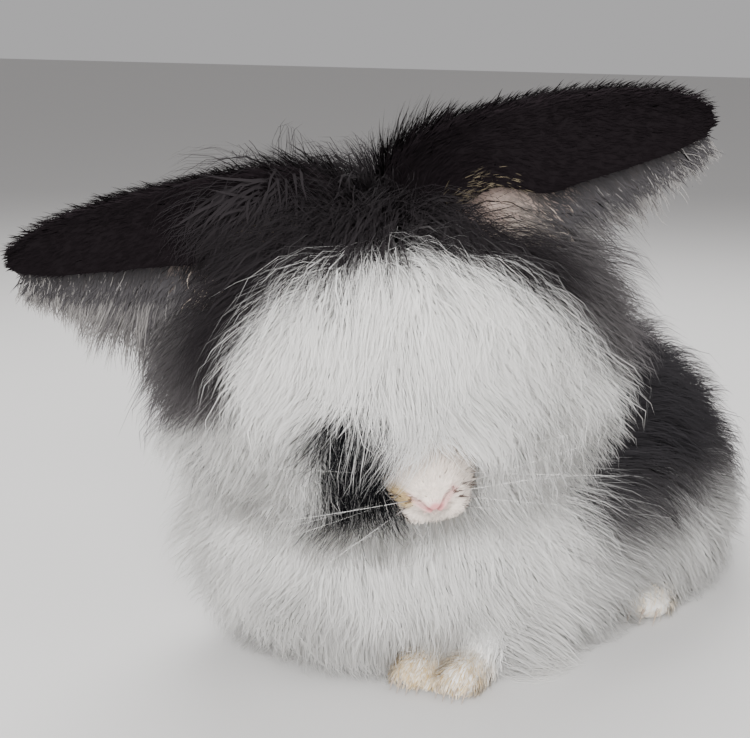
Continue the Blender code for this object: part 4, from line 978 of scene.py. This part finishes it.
def skin_material():
    """Makes the skin's material, with the coat's markings and the bump of short fur."""
    material = coat_material("skin_fur", 0.9, 0.0, gloss=0.04)
    nodes, links = material.node_tree.nodes, material.node_tree.links
    shader = nodes["Principled BSDF"]
    place = nodes.new("ShaderNodeTexCoord")
    grain = nodes.new("ShaderNodeTexNoise")
    grain.inputs["Scale"].default_value = 900.0
    grain.inputs["Detail"].default_value = 4.0
    bump = nodes.new("ShaderNodeBump")
    bump.inputs["Strength"].default_value = 0.5
    bump.inputs["Distance"].default_value = 0.0004
    links.new(place.outputs["Object"], grain.inputs["Vector"])
    links.new(grain.outputs["Fac"], bump.inputs["Height"])
    links.new(bump.outputs["Normal"], shader.inputs["Normal"])
    return material


BODY_NODES = ("torso", "neck", "head", "tail", "foreleg_left", "foreleg_right", "hind_leg_left",
              "hind_leg_right", "ear_left", "ear_right")


class RABBIT_OT_skin(bpy.types.Operator):
    """Makes the one skin of body, face and ears"""

    bl_idname = "rabbit.skin"
    bl_label = "Skin"

    def execute(self, context):
        body = body_skin()
        parts = [body, face_skin(), ear_shell("left"), ear_shell("right")]
        join(parts, skin_material())
        body.data.shade_smooth()
        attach(body, "root")
        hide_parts(*BODY_NODES)
        return {"FINISHED"}


def eye_material():
    """Makes the eye's material: its painted pupil and iris under a wet clear front."""
    material = bpy.data.materials.new("eye")
    material.use_nodes = True
    nodes, links = material.node_tree.nodes, material.node_tree.links
    shader = nodes["Principled BSDF"]
    colour = nodes.new("ShaderNodeAttribute")
    colour.attribute_name = "coat"
    links.new(colour.outputs["Color"], shader.inputs["Base Color"])
    shader.inputs["Roughness"].default_value = 0.12
    shader.inputs["Coat Weight"].default_value = 1.0
    shader.inputs["Coat Roughness"].default_value = 0.02
    return material


class RABBIT_OT_eyes(bpy.types.Operator):
    """Makes both eyes with pupil and iris"""

    bl_idname = "rabbit.eyes"
    bl_label = "Eyes"

    def execute(self, context):
        settings = context.scene.rabbit
        material = eye_material()
        for side, sign in (("left", 1.0), ("right", -1.0)):
            axis = unit(HEAD @ (np.array(EYE_AXIS) * (1.0, sign, 1.0)))
            across = unit(np.cross(axis, HEAD[:, 2]))
            axes = np.stack([across, np.cross(axis, across), axis], axis=1)
            centre = on_head(np.array(EYE_PLACE) * (1.0, sign, 1.0))
            eye = oval_body("eyeball_" + side, centre, np.array([1.0, 1.0, 1.0]) * EYE_RADIUS, axes, 64, 64)
            offset = places_of(eye.data) - centre
            ahead = offset @ axis
            out = np.linalg.norm(offset - ahead[:, None] * axis, axis=1)
            turn = np.arctan2(offset @ axes[:, 1], offset @ axes[:, 0])
            spokes = 0.75 + 0.25 * np.sin(turn * 37.0) * np.sin(turn * 23.0 + 1.0)
            iris = mix(PUPIL_COLOUR, np.array(settings.iris) * spokes[:, None], smooth(2.9, 3.3, out))
            colours = mix(iris, EYE_WHITE, np.where(ahead > 0.0, smooth(6.9, 7.4, out), 1.0))
            paint(eye.data, colours)
            bulge = 0.7 * np.exp(-(out / 4.5) ** 2) * (ahead > 0.0)
            places = places_of(eye.data) + axis * bulge[:, None]
            eye.data.vertices.foreach_set("co", (places * MM).reshape(-1))
            eye.data.materials.append(material)
            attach(eye, "root")
            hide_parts("eye_" + side)
        return {"FINISHED"}


def falling(shell):
    """Gives the lie of wool that falls from the top of a shell outwards and down."""
    def lie(points):
        out = points - shell.centre
        out[:, 2] = 0.0
        return DOWN + out / 70.0
    return lie


def hidden(points, own, limit):
    """Tells which places lie deep under the coat of another shell."""
    covered = np.zeros(len(points), dtype=bool)
    for name, shell in SHELLS.items():
        if name != own:
            under = shell.level(points) < limit
            if name == "torso":
                under &= (points[:, 1] > CHEST_FRONT) & (points[:, 1] < RUMP_BACK)
            covered |= under
    return covered


def near_ear(guides, room):
    """Tells which guides run through an ear or hang before its mouth."""
    close = np.zeros(len(guides), dtype=bool)
    for side in ("left", "right"):
        shares = np.linspace(0.16, 0.5, 9)
        mouth = (ear_skin(side, shares, np.full(9, -1.0)) + ear_skin(side, shares, np.full(9, 1.0))) / 2.0
        line = np.concatenate([ear_line(side, np.linspace(0.12, 1.0, 24)), mouth])
        for k in range(1, guides.shape[1]):
            apart = np.linalg.norm(guides[:, k, None, :] - line[None], axis=2).min(axis=1)
            close |= apart < room
    return close


# Layers of the wool: strands to a guide, depth in the coat, width, light and own facing
UNDER_WOOL = {"per": 2, "level": (0.4, 0.78), "width": 5.0, "light": (0.98, 1.01), "firm": 0.0}
TOP_WOOL = {"per": 8, "level": (0.76, 1.05), "width": 1.0, "light": (0.96, 1.04), "firm": 0.08}
WOOL_TUFT, WOOL_CLUMP, WOOL_FRIZZ = 4.2, 0.35, 0.55
WOOL_STEPS, FUR_STEPS = 5, 4

# Regions of the wool: guides and their length
WOOL_SIZES = {
    "head": (7500, 34.0),
    "ruff": (3800, 36.0),
    "bib": (5300, 34.0),
    "mop": (850, 28.0),
    "torso": (3300, 36.0),
    "rump": (1300, 32.0),
    "haunch_left": (1100, 30.0),
    "haunch_right": (1100, 30.0),
}
MUZZLE_STRANDS, VELVET_STRANDS, LINING_STRANDS = 12500, 11500, 6400


def wool(name, shell, lie, marks, rng, material, nodes, keep=(), limit=0.4, width=1.0, sway=0.10,
         clear=True):
    """Makes the long wool of one region: broad soft tufts below and fine strands in tufts above."""
    settings = bpy.context.scene.rabbit
    count, travel = WOOL_SIZES[name]
    kept = []
    for layer in (UNDER_WOOL, TOP_WOOL):
        roots = shell.roots(int(count * settings.tufts), rng)
        size = len(roots)
        swing = rng.normal(size=(size, 3)) * sway
        distance = rng.uniform(0.75, 1.2, size) * travel
        level = rng.uniform(*layer["level"], size) + 0.3 * drift(roots * 1.7)[:, 0]
        guides = grow(shell, roots, WOOL_STEPS - 1, distance, np.clip(level, 0.3, 1.06), lie, swing, keep)
        shown = ~hidden(guides[:, -1], name, limit)
        if clear:
            shown &= ~near_ear(guides, 13.0)
        guides = guides[shown]
        out = shell.outward(guides[:, WOOL_STEPS // 2])
        spines, index = spread(guides, layer["per"], WOOL_TUFT, WOOL_CLUMP, WOOL_FRIZZ, rng, out)
        for rule in keep:
            spines[:, 1:] = rule(spines[:, 1:])
        wander = (rng.normal(size=len(guides)) * 0.03)[index] + rng.normal(size=len(index)) * 0.018
        colour = marks(spines[:, 1], wander)
        light = rng.uniform(*layer["light"], len(guides))[index] * rng.uniform(0.97, 1.03, len(index))
        widths = settings.strand_width * layer["width"] * width * rng.uniform(0.75, 1.25, len(index))
        firm = np.full(len(index), layer["firm"])
        kept.append((spines, widths, out[index], colour * light[:, None], firm))
    spines, widths, out, colour, firm = (np.concatenate(rows) for rows in zip(*kept))
    # Painted shade deep in the coat: each strand is a little darker at its root than at its tip.
    coat_piece("coat_" + name, spines, widths, out, shell.unwrap(spines[:, 0]),
               (colour * 0.96, np.clip(colour, 0.0, 0.92)), material, rng, nodes, roll=0.35, firm=firm)


def marks_on_bib(places, wander=0.0):
    """Gives the bib's colour, which is the body's colour further forward."""
    return marks_on_body(places - (0.0, 60.0, 0.0), wander)


def marks_on_mop(places, _wander=0.0):
    """Gives the one dark colour of the tuft between the ears."""
    return np.tile(bpy.context.scene.rabbit.crown_wool, (len(places), 1))


class RABBIT_OT_head_wool(bpy.types.Operator):
    """Makes the long wool of crown, face, cheeks, ruff and bib"""

    bl_idname = "rabbit.head_wool"
    bl_label = "Head wool"

    def execute(self, context):
        rng = np.random.default_rng(SEED)
        material = coat_material("wool_head", 0.9, 0.0, 0.45, 0.07)
        wool("head", HEAD_COAT, falling(HEAD_COAT), marks_on_head, rng, material, ("head",),
             keep=(clear_muzzle,), limit=0.35, width=0.9)
        wool("ruff", RUFF_COAT, falling(RUFF_COAT), marks_on_head, rng, material, ("neck",),
             keep=(clear_muzzle,), limit=0.6)
        wool("bib", BIB_COAT, falling(BIB_COAT), marks_on_bib, rng, material, ("torso",))
        wool("mop", MOP_COAT, falling(MOP_COAT), marks_on_mop, rng, material, ("head",), limit=-9.0,
             clear=False, sway=0.3)
        return {"FINISHED"}


def swept(points):
    """Gives the lie of the body's wool, back and down."""
    out = np.zeros_like(points)
    out[:, 0] = np.clip(points[:, 0] / 30.0, -1.0, 1.0) * 0.3
    out[:, 1] = 0.8
    out[:, 2] = -0.9
    return out


def tube_fur(path, radii, count, rng):
    """Gives random roots on a tube, their outward directions and the tube's direction there."""
    path = np.asarray(path, dtype=float)
    share = rng.uniform(0.0, 1.0, count) * (len(path) - 1.001)
    at = share.astype(int)
    part = (share - at)[:, None]
    middle = path[at] * (1.0 - part) + path[at + 1] * part
    radius = np.interp(share, np.arange(len(path)), radii)[:, None]
    along = unit(path[at + 1] - path[at])
    across = unit(np.cross(along, (0.0, 0.0, 1.0)))
    upward = np.cross(across, along)
    turn = rng.uniform(-math.pi, 2.0 * math.pi, count)[:, None]
    out = across * np.cos(turn) + upward * np.sin(turn)
    return middle + out * radius, out, along


def fur_map(across, along):
    """Gives places on a flat unwrap from shares across and along it."""
    return np.stack([0.02 + 0.96 * across, 0.02 + 0.96 * along], axis=1)


def short_fur(name, roots, out, lie, length, lift, colours, width, rng, material, nodes, uv,
              curl=0.12):
    """Makes short fur that leaves the skin at an angle and bends over along its lie."""
    lie = unit(lie - out * (lie * out).sum(axis=1, keepdims=True))
    lie = unit(lie + rng.normal(size=lie.shape) * curl)
    points = roots
    spines = [points]
    for k in range(FUR_STEPS - 1):
        angle = lift * (1.0 - k / (FUR_STEPS - 1.0))
        heading = lie * np.cos(angle) + out * np.sin(angle)
        points = points + heading * (length / (FUR_STEPS - 1.0))[:, None]
        spines.append(points)
    spines = off_floor(np.stack(spines, axis=1))
    light = rng.uniform(0.85, 1.12, len(roots))[:, None]
    # Painted shade deep in the fur: roots darker and tips lighter than the fur's own colour.
    shades = (colours * light * 0.9, np.clip(colours * light * 1.05, 0.0, 0.92))
    coat_piece("coat_" + name, spines, width * rng.uniform(0.75, 1.25, len(roots)), out, uv, shades,
               material, rng, nodes, 0.35)


class RABBIT_OT_body_wool(bpy.types.Operator):
    """Makes the long wool of torso, haunches and tail and the short fur of the feet"""

    bl_idname = "rabbit.body_wool"
    bl_label = "Body wool"

    def execute(self, context):
        rng = np.random.default_rng(SEED + 1)
        settings = context.scene.rabbit
        material = coat_material("wool_body", 0.9, 0.0, 0.45, 0.07)
        fur = coat_material("fur_body", 0.9, 0.08)
        wool("torso", TORSO, swept, marks_on_body, rng, material, ("torso",), limit=0.45, width=1.1)
        wool("rump", RUMP_COAT, swept, marks_on_body, rng, material, ("torso",), limit=0.5, width=1.2)
        for side in ("left", "right"):
            wool("haunch_" + side, HAUNCHES[side], swept, marks_on_body, rng, material,
                 ("hind_leg_" + side,), limit=0.45, width=1.2)
            for part, path, count, node in (("foot_", hind_foot_path(side)[0], 4200, "hind_leg_"),
                                            ("paw_", foreleg_path(side)[0], 6000, "foreleg_")):
                front = -1.0 if part == "paw_" else 1.0
                ahead = unit(np.array(path[3]) - path[0]) * front
                roots, out = skin_roots(count, rng, near_line(path, 13.0))
                roots, out = roots[out[:, 2] > -0.55], out[out[:, 2] > -0.55]
                toe = np.array(path[0] if part == "paw_" else path[-1])
                behind = np.clip((toe - roots) @ ahead, 0.0, 30.0)
                length = (3.4 + 0.22 * behind) * rng.uniform(0.8, 1.25, len(roots))
                stain = (1.0 - smooth(4.0, 26.0, behind)) * rng.uniform(0.3, 1.0, len(roots))
                if part == "foot_":
                    stain *= 0.6
                colours = mix(np.array(settings.white_wool) * 0.97, settings.stain, stain)
                uv = fur_map(np.arctan2(out[:, 2], out[:, 0]) / (2.0 * math.pi) + 0.5,
                             np.clip((roots[:, 1] + 115.0) / 200.0, 0.0, 1.0))
                short_fur(part + side, roots, out, ahead + DOWN * 0.35, length, 0.6, colours, 0.38, rng, fur,
                          (node + side,), uv)
        roots, out, along = tube_fur(*tail_path(), TAIL_STRANDS, rng)
        under = smooth(-0.6, 0.3, out[:, 1] + rng.normal(size=len(roots)) * 0.2)
        colours = mix(np.array(settings.flank_wool), np.array(settings.white_wool) * 0.92, under)
        uv = fur_map(np.arctan2(out[:, 1], out[:, 0]) / (2.0 * math.pi) + 0.5,
                     np.clip((roots[:, 2] - 20.0) / 60.0, 0.0, 1.0))
        length = rng.uniform(15.0, 21.0, len(roots))
        short_fur("tail", roots, out, along + (0.0, 0.4, 0.2), length, 0.8, colours, 0.42, rng, fur,
                  ("tail",), uv, curl=0.16)
        return {"FINISHED"}


class RABBIT_OT_muzzle_fur(bpy.types.Operator):
    """Makes the short fur of muzzle, lips and chin"""

    bl_idname = "rabbit.muzzle_fur"
    bl_label = "Muzzle fur"

    def execute(self, context):
        rng = np.random.default_rng(SEED + 2)
        settings = context.scene.rabbit
        grid = face_surface()
        rows, around = grid.shape[:2]
        down_rows = np.gradient(grid, axis=0)
        along_rows = (np.roll(grid, -1, axis=1) - np.roll(grid, 1, axis=1)) / 2.0
        normals = np.cross(down_rows, along_rows)
        area = np.linalg.norm(normals, axis=-1) * (grid[..., 0] > 22.0)
        normals = unit(normals)
        outward = np.sign((normals * (grid - SKULL_MIDDLE)).sum(axis=-1, keepdims=True))
        normals = normals * outward
        chosen = rng.choice(rows * around, MUZZLE_STRANDS, p=(area / area.sum()).reshape(-1))
        local = grid.reshape(-1, 3)[chosen] + rng.normal(size=(MUZZLE_STRANDS, 3)) * 0.12
        out = normals.reshape(-1, 3)[chosen]
        bare = np.minimum(both_sides(local, NOSTRIL_LINE) + 0.5, line_distance(local, CLEFT_LINE) + 0.2)
        bare = np.minimum(bare, nose_distance(local) - 0.9)
        kept = (bare > 1.5) & (both_sides(local, MOUTH_LINE) > 0.9)
        local, out = local[kept], out[kept]
        back = smooth(0.0, 26.0, 50.0 - local[:, 0])
        length = (1.6 + 13.0 * back**1.2) * rng.uniform(0.7, 1.3, len(local))
        lie = unit(local - (54.0, 0.0, -2.0)) + (0.0, 0.0, -0.15)
        colours = face_colours(local, settings)
        uv = np.clip(fur_map((local[:, 1] + 20.0) / 40.0, (local[:, 2] + 30.0) / 60.0), 0.01, 0.99)
        short_fur("muzzle", on_head(local), out @ HEAD.T, lie @ HEAD.T, length, 0.7, colours, 0.3, rng,
                  coat_material("fur_muzzle", 0.85, 0.08), ("head",), uv, curl=0.2)
        return {"FINISHED"}


def ear_roots(side, count, rng, shares, swings, lift):
    """Gives random roots on an ear with outward direction, the way along and the way to the rims."""
    share = rng.uniform(*shares, count)
    swing = rng.uniform(*swings, count)
    root = ear_skin(side, share, swing, lift)
    out = unit(ear_skin(side, share, swing, lift * 2.0) - root)
    along = unit(ear_skin(side, share + 0.01, swing, lift) - root)
    further = np.clip(swing + np.sign(swing) * 0.02, -1.02, 1.02)
    rim = unit(ear_skin(side, share, further, lift) - root + 1e-6)
    return share, swing, root, out, along, rim, fur_map(share, (swing + 1.0) / 2.0)


class RABBIT_OT_ear_fur(bpy.types.Operator):
    """Makes the velvet, lining and fringe of both ears"""

    bl_idname = "rabbit.ear_fur"
    bl_label = "Ear fur"

    def execute(self, context):
        settings = context.scene.rabbit
        velvet = coat_material("fur_ear", 0.95, 0.0, gloss=0.03)
        lining = coat_material("fur_lining", 0.9, 0.08)
        for side in ("left", "right"):
            rng = np.random.default_rng(SEED + (3 if side == "left" else 4))
            share, swing, root, out, along, rim, uv = ear_roots(side, VELVET_STRANDS, rng, (0.0, 0.995),
                                                                (-1.0, 1.0), 0.8)
            base = 1.0 - smooth(0.15, 0.5, share)
            ridge = np.exp(-((swing - 0.05) / 0.35) ** 2)
            length = (2.6 + 3.6 * base + ridge * (2.0 + 9.0 * base)) * rng.uniform(0.6, 1.35, len(root))
            # Painted sheen: a lighter band of velvet along the fold of the ear.
            sheen_band = np.exp(-((swing + 0.24) / 0.10) ** 2)
            colours = mix(settings.ear_velvet, np.array(settings.ear_velvet) * 3.0, sheen_band * 0.8)
            middle = smooth(0.1, 0.2, share) * (1.0 - smooth(0.42, 0.62, share))
            gold = (1.0 - smooth(-1.0, -0.6, swing)) * middle
            gold = smooth(0.5, 0.7, gold * rng.uniform(0.0, 1.0, len(root)))
            colours = mix(colours, GOLD_TICK, gold * 0.8)
            short_fur("ear_" + side, root, out, along + rim * 0.35, length, 0.5, colours,
                      0.38 - 0.26 * gold, rng, velvet, ("ear_" + side,), uv, curl=0.2)
            share, swing, root, out, along, rim, uv = ear_roots(side, LINING_STRANDS, rng, (0.02, 0.985),
                                                                (0.35, 1.0), -0.8)
            length = (3.0 + 5.0 * smooth(0.6, 1.0, swing)) * rng.uniform(0.6, 1.3, len(root))
            inward = 1.0 - smooth(0.3, 0.62, share)
            pink = inward * (1.0 - smooth(0.7, 0.95, swing))
            colours = mix(mix(LINING_DARK, LINING_PALE, inward), LINING_PINK, pink)
            short_fur("lining_" + side, root, out, along * 0.6 + rim, length, 0.35, colours, 0.42, rng,
                      lining, ("ear_" + side,), uv, curl=0.25)
            self.fringe(side, rng, lining)
        return {"FINISHED"}

    def fringe(self, side, rng, material):
        """Hangs the long wool from the rear rim of an ear."""
        count = FRINGE_TUFTS[side]
        share, _, root, _, along, rim, uv = ear_roots(side, count, rng, (0.06, 0.985), (0.9, 1.0), 0.4)
        length = np.interp(share, FRINGE_SHARES, FRINGE_LENGTHS[side]) * rng.uniform(0.5, 1.12, count)
        strip = smooth(0.1, 0.2, share) * (1.0 - smooth(0.5, 0.66, share))
        pale = rng.uniform(size=count) < 0.45 * strip
        length[pale] = rng.uniform(7.0, 14.0, pale.sum())
        heading = along * (0.75 if side == "left" else 0.5) + rim * 0.6 + DOWN * 0.35
        heading = heading + rng.normal(size=(count, 3)) * 0.13
        points, guide = root, [root]
        for _ in range(FRINGE_STEPS):
            heading = unit(heading + drift(points) * 0.25 + DOWN * FRINGE_SAG[side])
            points = points + heading * (length / FRINGE_STEPS)[:, None]
            guide.append(points)
        facing = unit(np.tile(HEAD[:, 0] * (1.0, 1.0, 0.0), (count, 1)))
        spines, index = spread(np.stack(guide, axis=1), FRINGE_STRANDS, 1.8, 0.5, 0.9, rng, facing)
        far = smooth(0.55, 1.0, share[index] + rng.uniform(-0.2, 0.2, len(index)))
        colours = mix(FRINGE_NEAR, FRINGE_FAR, far)
        colours = mix(colours, FRINGE_PALE, pale[index])
        widths = 0.32 * rng.uniform(0.7, 1.2, len(index))
        coat_piece("coat_fringe_" + side, spines, widths, facing[index], uv[index],
                   (colours, np.clip(colours * 1.15, 0.0, 0.9)), material, rng, ("ear_" + side,))


class RABBIT_OT_claws(bpy.types.Operator):
    """Makes the four claws of each foot"""

    bl_idname = "rabbit.claws"
    bl_label = "Claws"

    def execute(self, context):
        claws = []
        for side in ("left", "right"):
            for centre, half in toes(side):
                start = np.array(centre) + (0.0, -half[1] * 0.7, half[2] * 0.2)
                long = half[1] * 0.95
                path = [start + np.array([0.0, -long * s, -(start[2] - 0.9) * s**1.6]) for s in CLAW_SHARES]
                radii = [CLAW_RADIUS * (1.05 - s) for s in CLAW_SHARES]
                claws.append(tube_body("claws", path, radii, around=10))
        material = bpy.data.materials.new("claw")
        material.use_nodes = True
        shader = material.node_tree.nodes["Principled BSDF"]
        shader.inputs["Base Color"].default_value = CLAW_COLOUR
        shader.inputs["Roughness"].default_value = 0.35
        join(claws, material)
        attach(claws[0], "root")
        return {"FINISHED"}


class RABBIT_OT_whiskers(bpy.types.Operator):
    """Makes the whiskers"""

    bl_idname = "rabbit.whiskers"
    bl_label = "Whiskers"

    def execute(self, context):
        rng = np.random.default_rng(SEED + 5)
        longest = context.scene.rabbit.whisker_length
        hairs = []
        for sign in (1.0, -1.0):
            for place in WHISKER_ROOTS:
                root = np.array(place) * (1.0, sign, 1.0)
                heading = unit(np.array([0.12, sign, 0.06 * place[2] + 0.2]) + rng.normal(size=3) * 0.16)
                length = longest * rng.uniform(0.6, 1.0)
                path = [on_head(root - heading * 1.5)]
                for k in range(9):
                    heading = unit(heading + np.array([-0.035, 0.0, -0.05]))
                    path.append(path[-1] + (HEAD @ heading) * length / 9.0)
                path.insert(1, path[0] + (path[1] - path[0]) * min(49.5 / length, 0.95))
                radii = [0.24, 0.18] + [0.085 * (1.0 - 0.7 * k / 9.0) for k in range(9)]
                hair = tube_body("whisker", path, radii, around=5)
                ahead = np.linalg.norm(places_of(hair.data) - path[0], axis=1)
                paint(hair.data, mix(WHISKER_BASE, WHISKER_PALE, smooth(4.5, 7.0, ahead)))
                hairs.append(hair)
        join(hairs, coat_material("whisker", 0.4, 0.0))
        hairs[0].name = "whiskers"
        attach(hairs[0], "root")
        return {"FINISHED"}


# Lamps: name, turn and height in degrees, size in metres and share of the main power
LAMPS = (
    ("key", 24.0, 22.0, 0.4, 1.0),
    ("fill_left", -60.0, 22.0, 0.8, 0.25),
    ("fill_right", 95.0, 25.0, 0.8, 0.25),
    ("back", 205.0, 48.0, 0.7, 0.7),
)
LAMP_DISTANCE = 850.0


def direction(turn, height):
    """Gives the direction towards a viewer or lamp by its turn and height in degrees."""
    turn, height = math.radians(turn), math.radians(height)
    level = math.cos(height)
    return np.array([math.sin(turn) * level, -math.cos(turn) * level, math.sin(height)])


class RABBIT_OT_stage(bpy.types.Operator):
    """Makes the floor, the lights and the camera"""

    bl_idname = "rabbit.stage"
    bl_label = "Stage"

    def execute(self, context):
        mesh = bpy.data.meshes.new("floor")
        corners = [(x * FLOOR_HALF, y * FLOOR_HALF, 0.0) for x, y in ((-1, -1), (1, -1), (1, 1), (-1, 1))]
        mesh.from_pydata(corners, [], [(0, 1, 2, 3)])
        floor = bpy.data.objects.new("floor", mesh)
        context.scene.collection.objects.link(floor)
        pale = bpy.data.materials.new("floor")
        pale.use_nodes = True
        shader = pale.node_tree.nodes["Principled BSDF"]
        shader.inputs["Base Color"].default_value = FLOOR_COLOUR
        shader.inputs["Roughness"].default_value = 0.9
        mesh.materials.append(pale)
        world = context.scene.world or bpy.data.worlds.new("world")
        context.scene.world = world
        world.use_nodes = True
        background = world.node_tree.nodes["Background"]
        background.inputs["Color"].default_value = ROOM_COLOUR
        background.inputs["Strength"].default_value = ROOM_LIGHT
        power = context.scene.rabbit.light
        for name, turn, height, size, share in LAMPS:
            data = bpy.data.lights.new(name, "AREA")
            data.size = size
            data.energy = power * share
            lamp = bpy.data.objects.new(name, data)
            away = direction(turn, height)
            lamp.location = (np.array(CAMERA_TARGET) + away * LAMP_DISTANCE) * MM
            lamp.rotation_euler = Matrix(look_axes(away)).to_euler()
            context.scene.collection.objects.link(lamp)
        data = bpy.data.cameras.new("camera")
        data.lens = CAMERA_LENS
        data.sensor_width = CAMERA_SENSOR
        data.shift_x, data.shift_y = CAMERA_SHIFT
        camera = bpy.data.objects.new("camera", data)
        back = direction(CAMERA_AZIMUTH, CAMERA_ELEVATION)
        camera.location = (np.array(CAMERA_TARGET) + back * CAMERA_DISTANCE) * MM
        camera.rotation_euler = Matrix(look_axes(back)).to_euler()
        context.scene.collection.objects.link(camera)
        context.scene.camera = camera
        return {"FINISHED"}


def look_axes(back):
    """Gives the turn of a camera or lamp whose own back points the given way."""
    back = unit(back)
    right = unit(np.cross((0.0, 0.0, 1.0), back))
    up = np.cross(back, right)
    return [[float(right[i]), float(up[i]), float(back[i])] for i in range(3)]


class RABBIT_PT_panel(bpy.types.Panel):
    """Lists the rabbit's settings and steps"""

    bl_idname = "RABBIT_PT_panel"
    bl_label = "Rabbit"
    bl_space_type = "VIEW_3D"
    bl_region_type = "UI"
    bl_category = "Rabbit"

    def draw(self, context):
        settings = context.scene.rabbit
        for name in RabbitSettings.__annotations__:
            self.layout.prop(settings, name)
        for step in STEPS:
            self.layout.operator(step.bl_idname)


STEPS = (RABBIT_OT_skin, RABBIT_OT_eyes, RABBIT_OT_head_wool, RABBIT_OT_body_wool, RABBIT_OT_muzzle_fur,
         RABBIT_OT_ear_fur, RABBIT_OT_claws, RABBIT_OT_whiskers, RABBIT_OT_stage)


def register():
    """Registers the settings, steps and panel."""
    bpy.utils.register_class(RabbitSettings)
    for step in STEPS:
        bpy.utils.register_class(step)
    bpy.utils.register_class(RABBIT_PT_panel)
    bpy.types.Scene.rabbit = PointerProperty(type=RabbitSettings)


def unregister():
    """Removes the settings, steps and panel."""
    del bpy.types.Scene.rabbit
    bpy.utils.unregister_class(RABBIT_PT_panel)
    for step in reversed(STEPS):
        bpy.utils.unregister_class(step)
    bpy.utils.unregister_class(RabbitSettings)


def main():
    """Builds the rabbit step by step."""
    register()
    bpy.ops.rabbit.skin()
    bpy.ops.rabbit.eyes()
    bpy.ops.rabbit.head_wool()
    bpy.ops.rabbit.body_wool()
    bpy.ops.rabbit.muzzle_fur()
    bpy.ops.rabbit.ear_fur()
    bpy.ops.rabbit.claws()
    bpy.ops.rabbit.whiskers()
    bpy.ops.rabbit.stage()


if __name__ == "__main__":
    main()
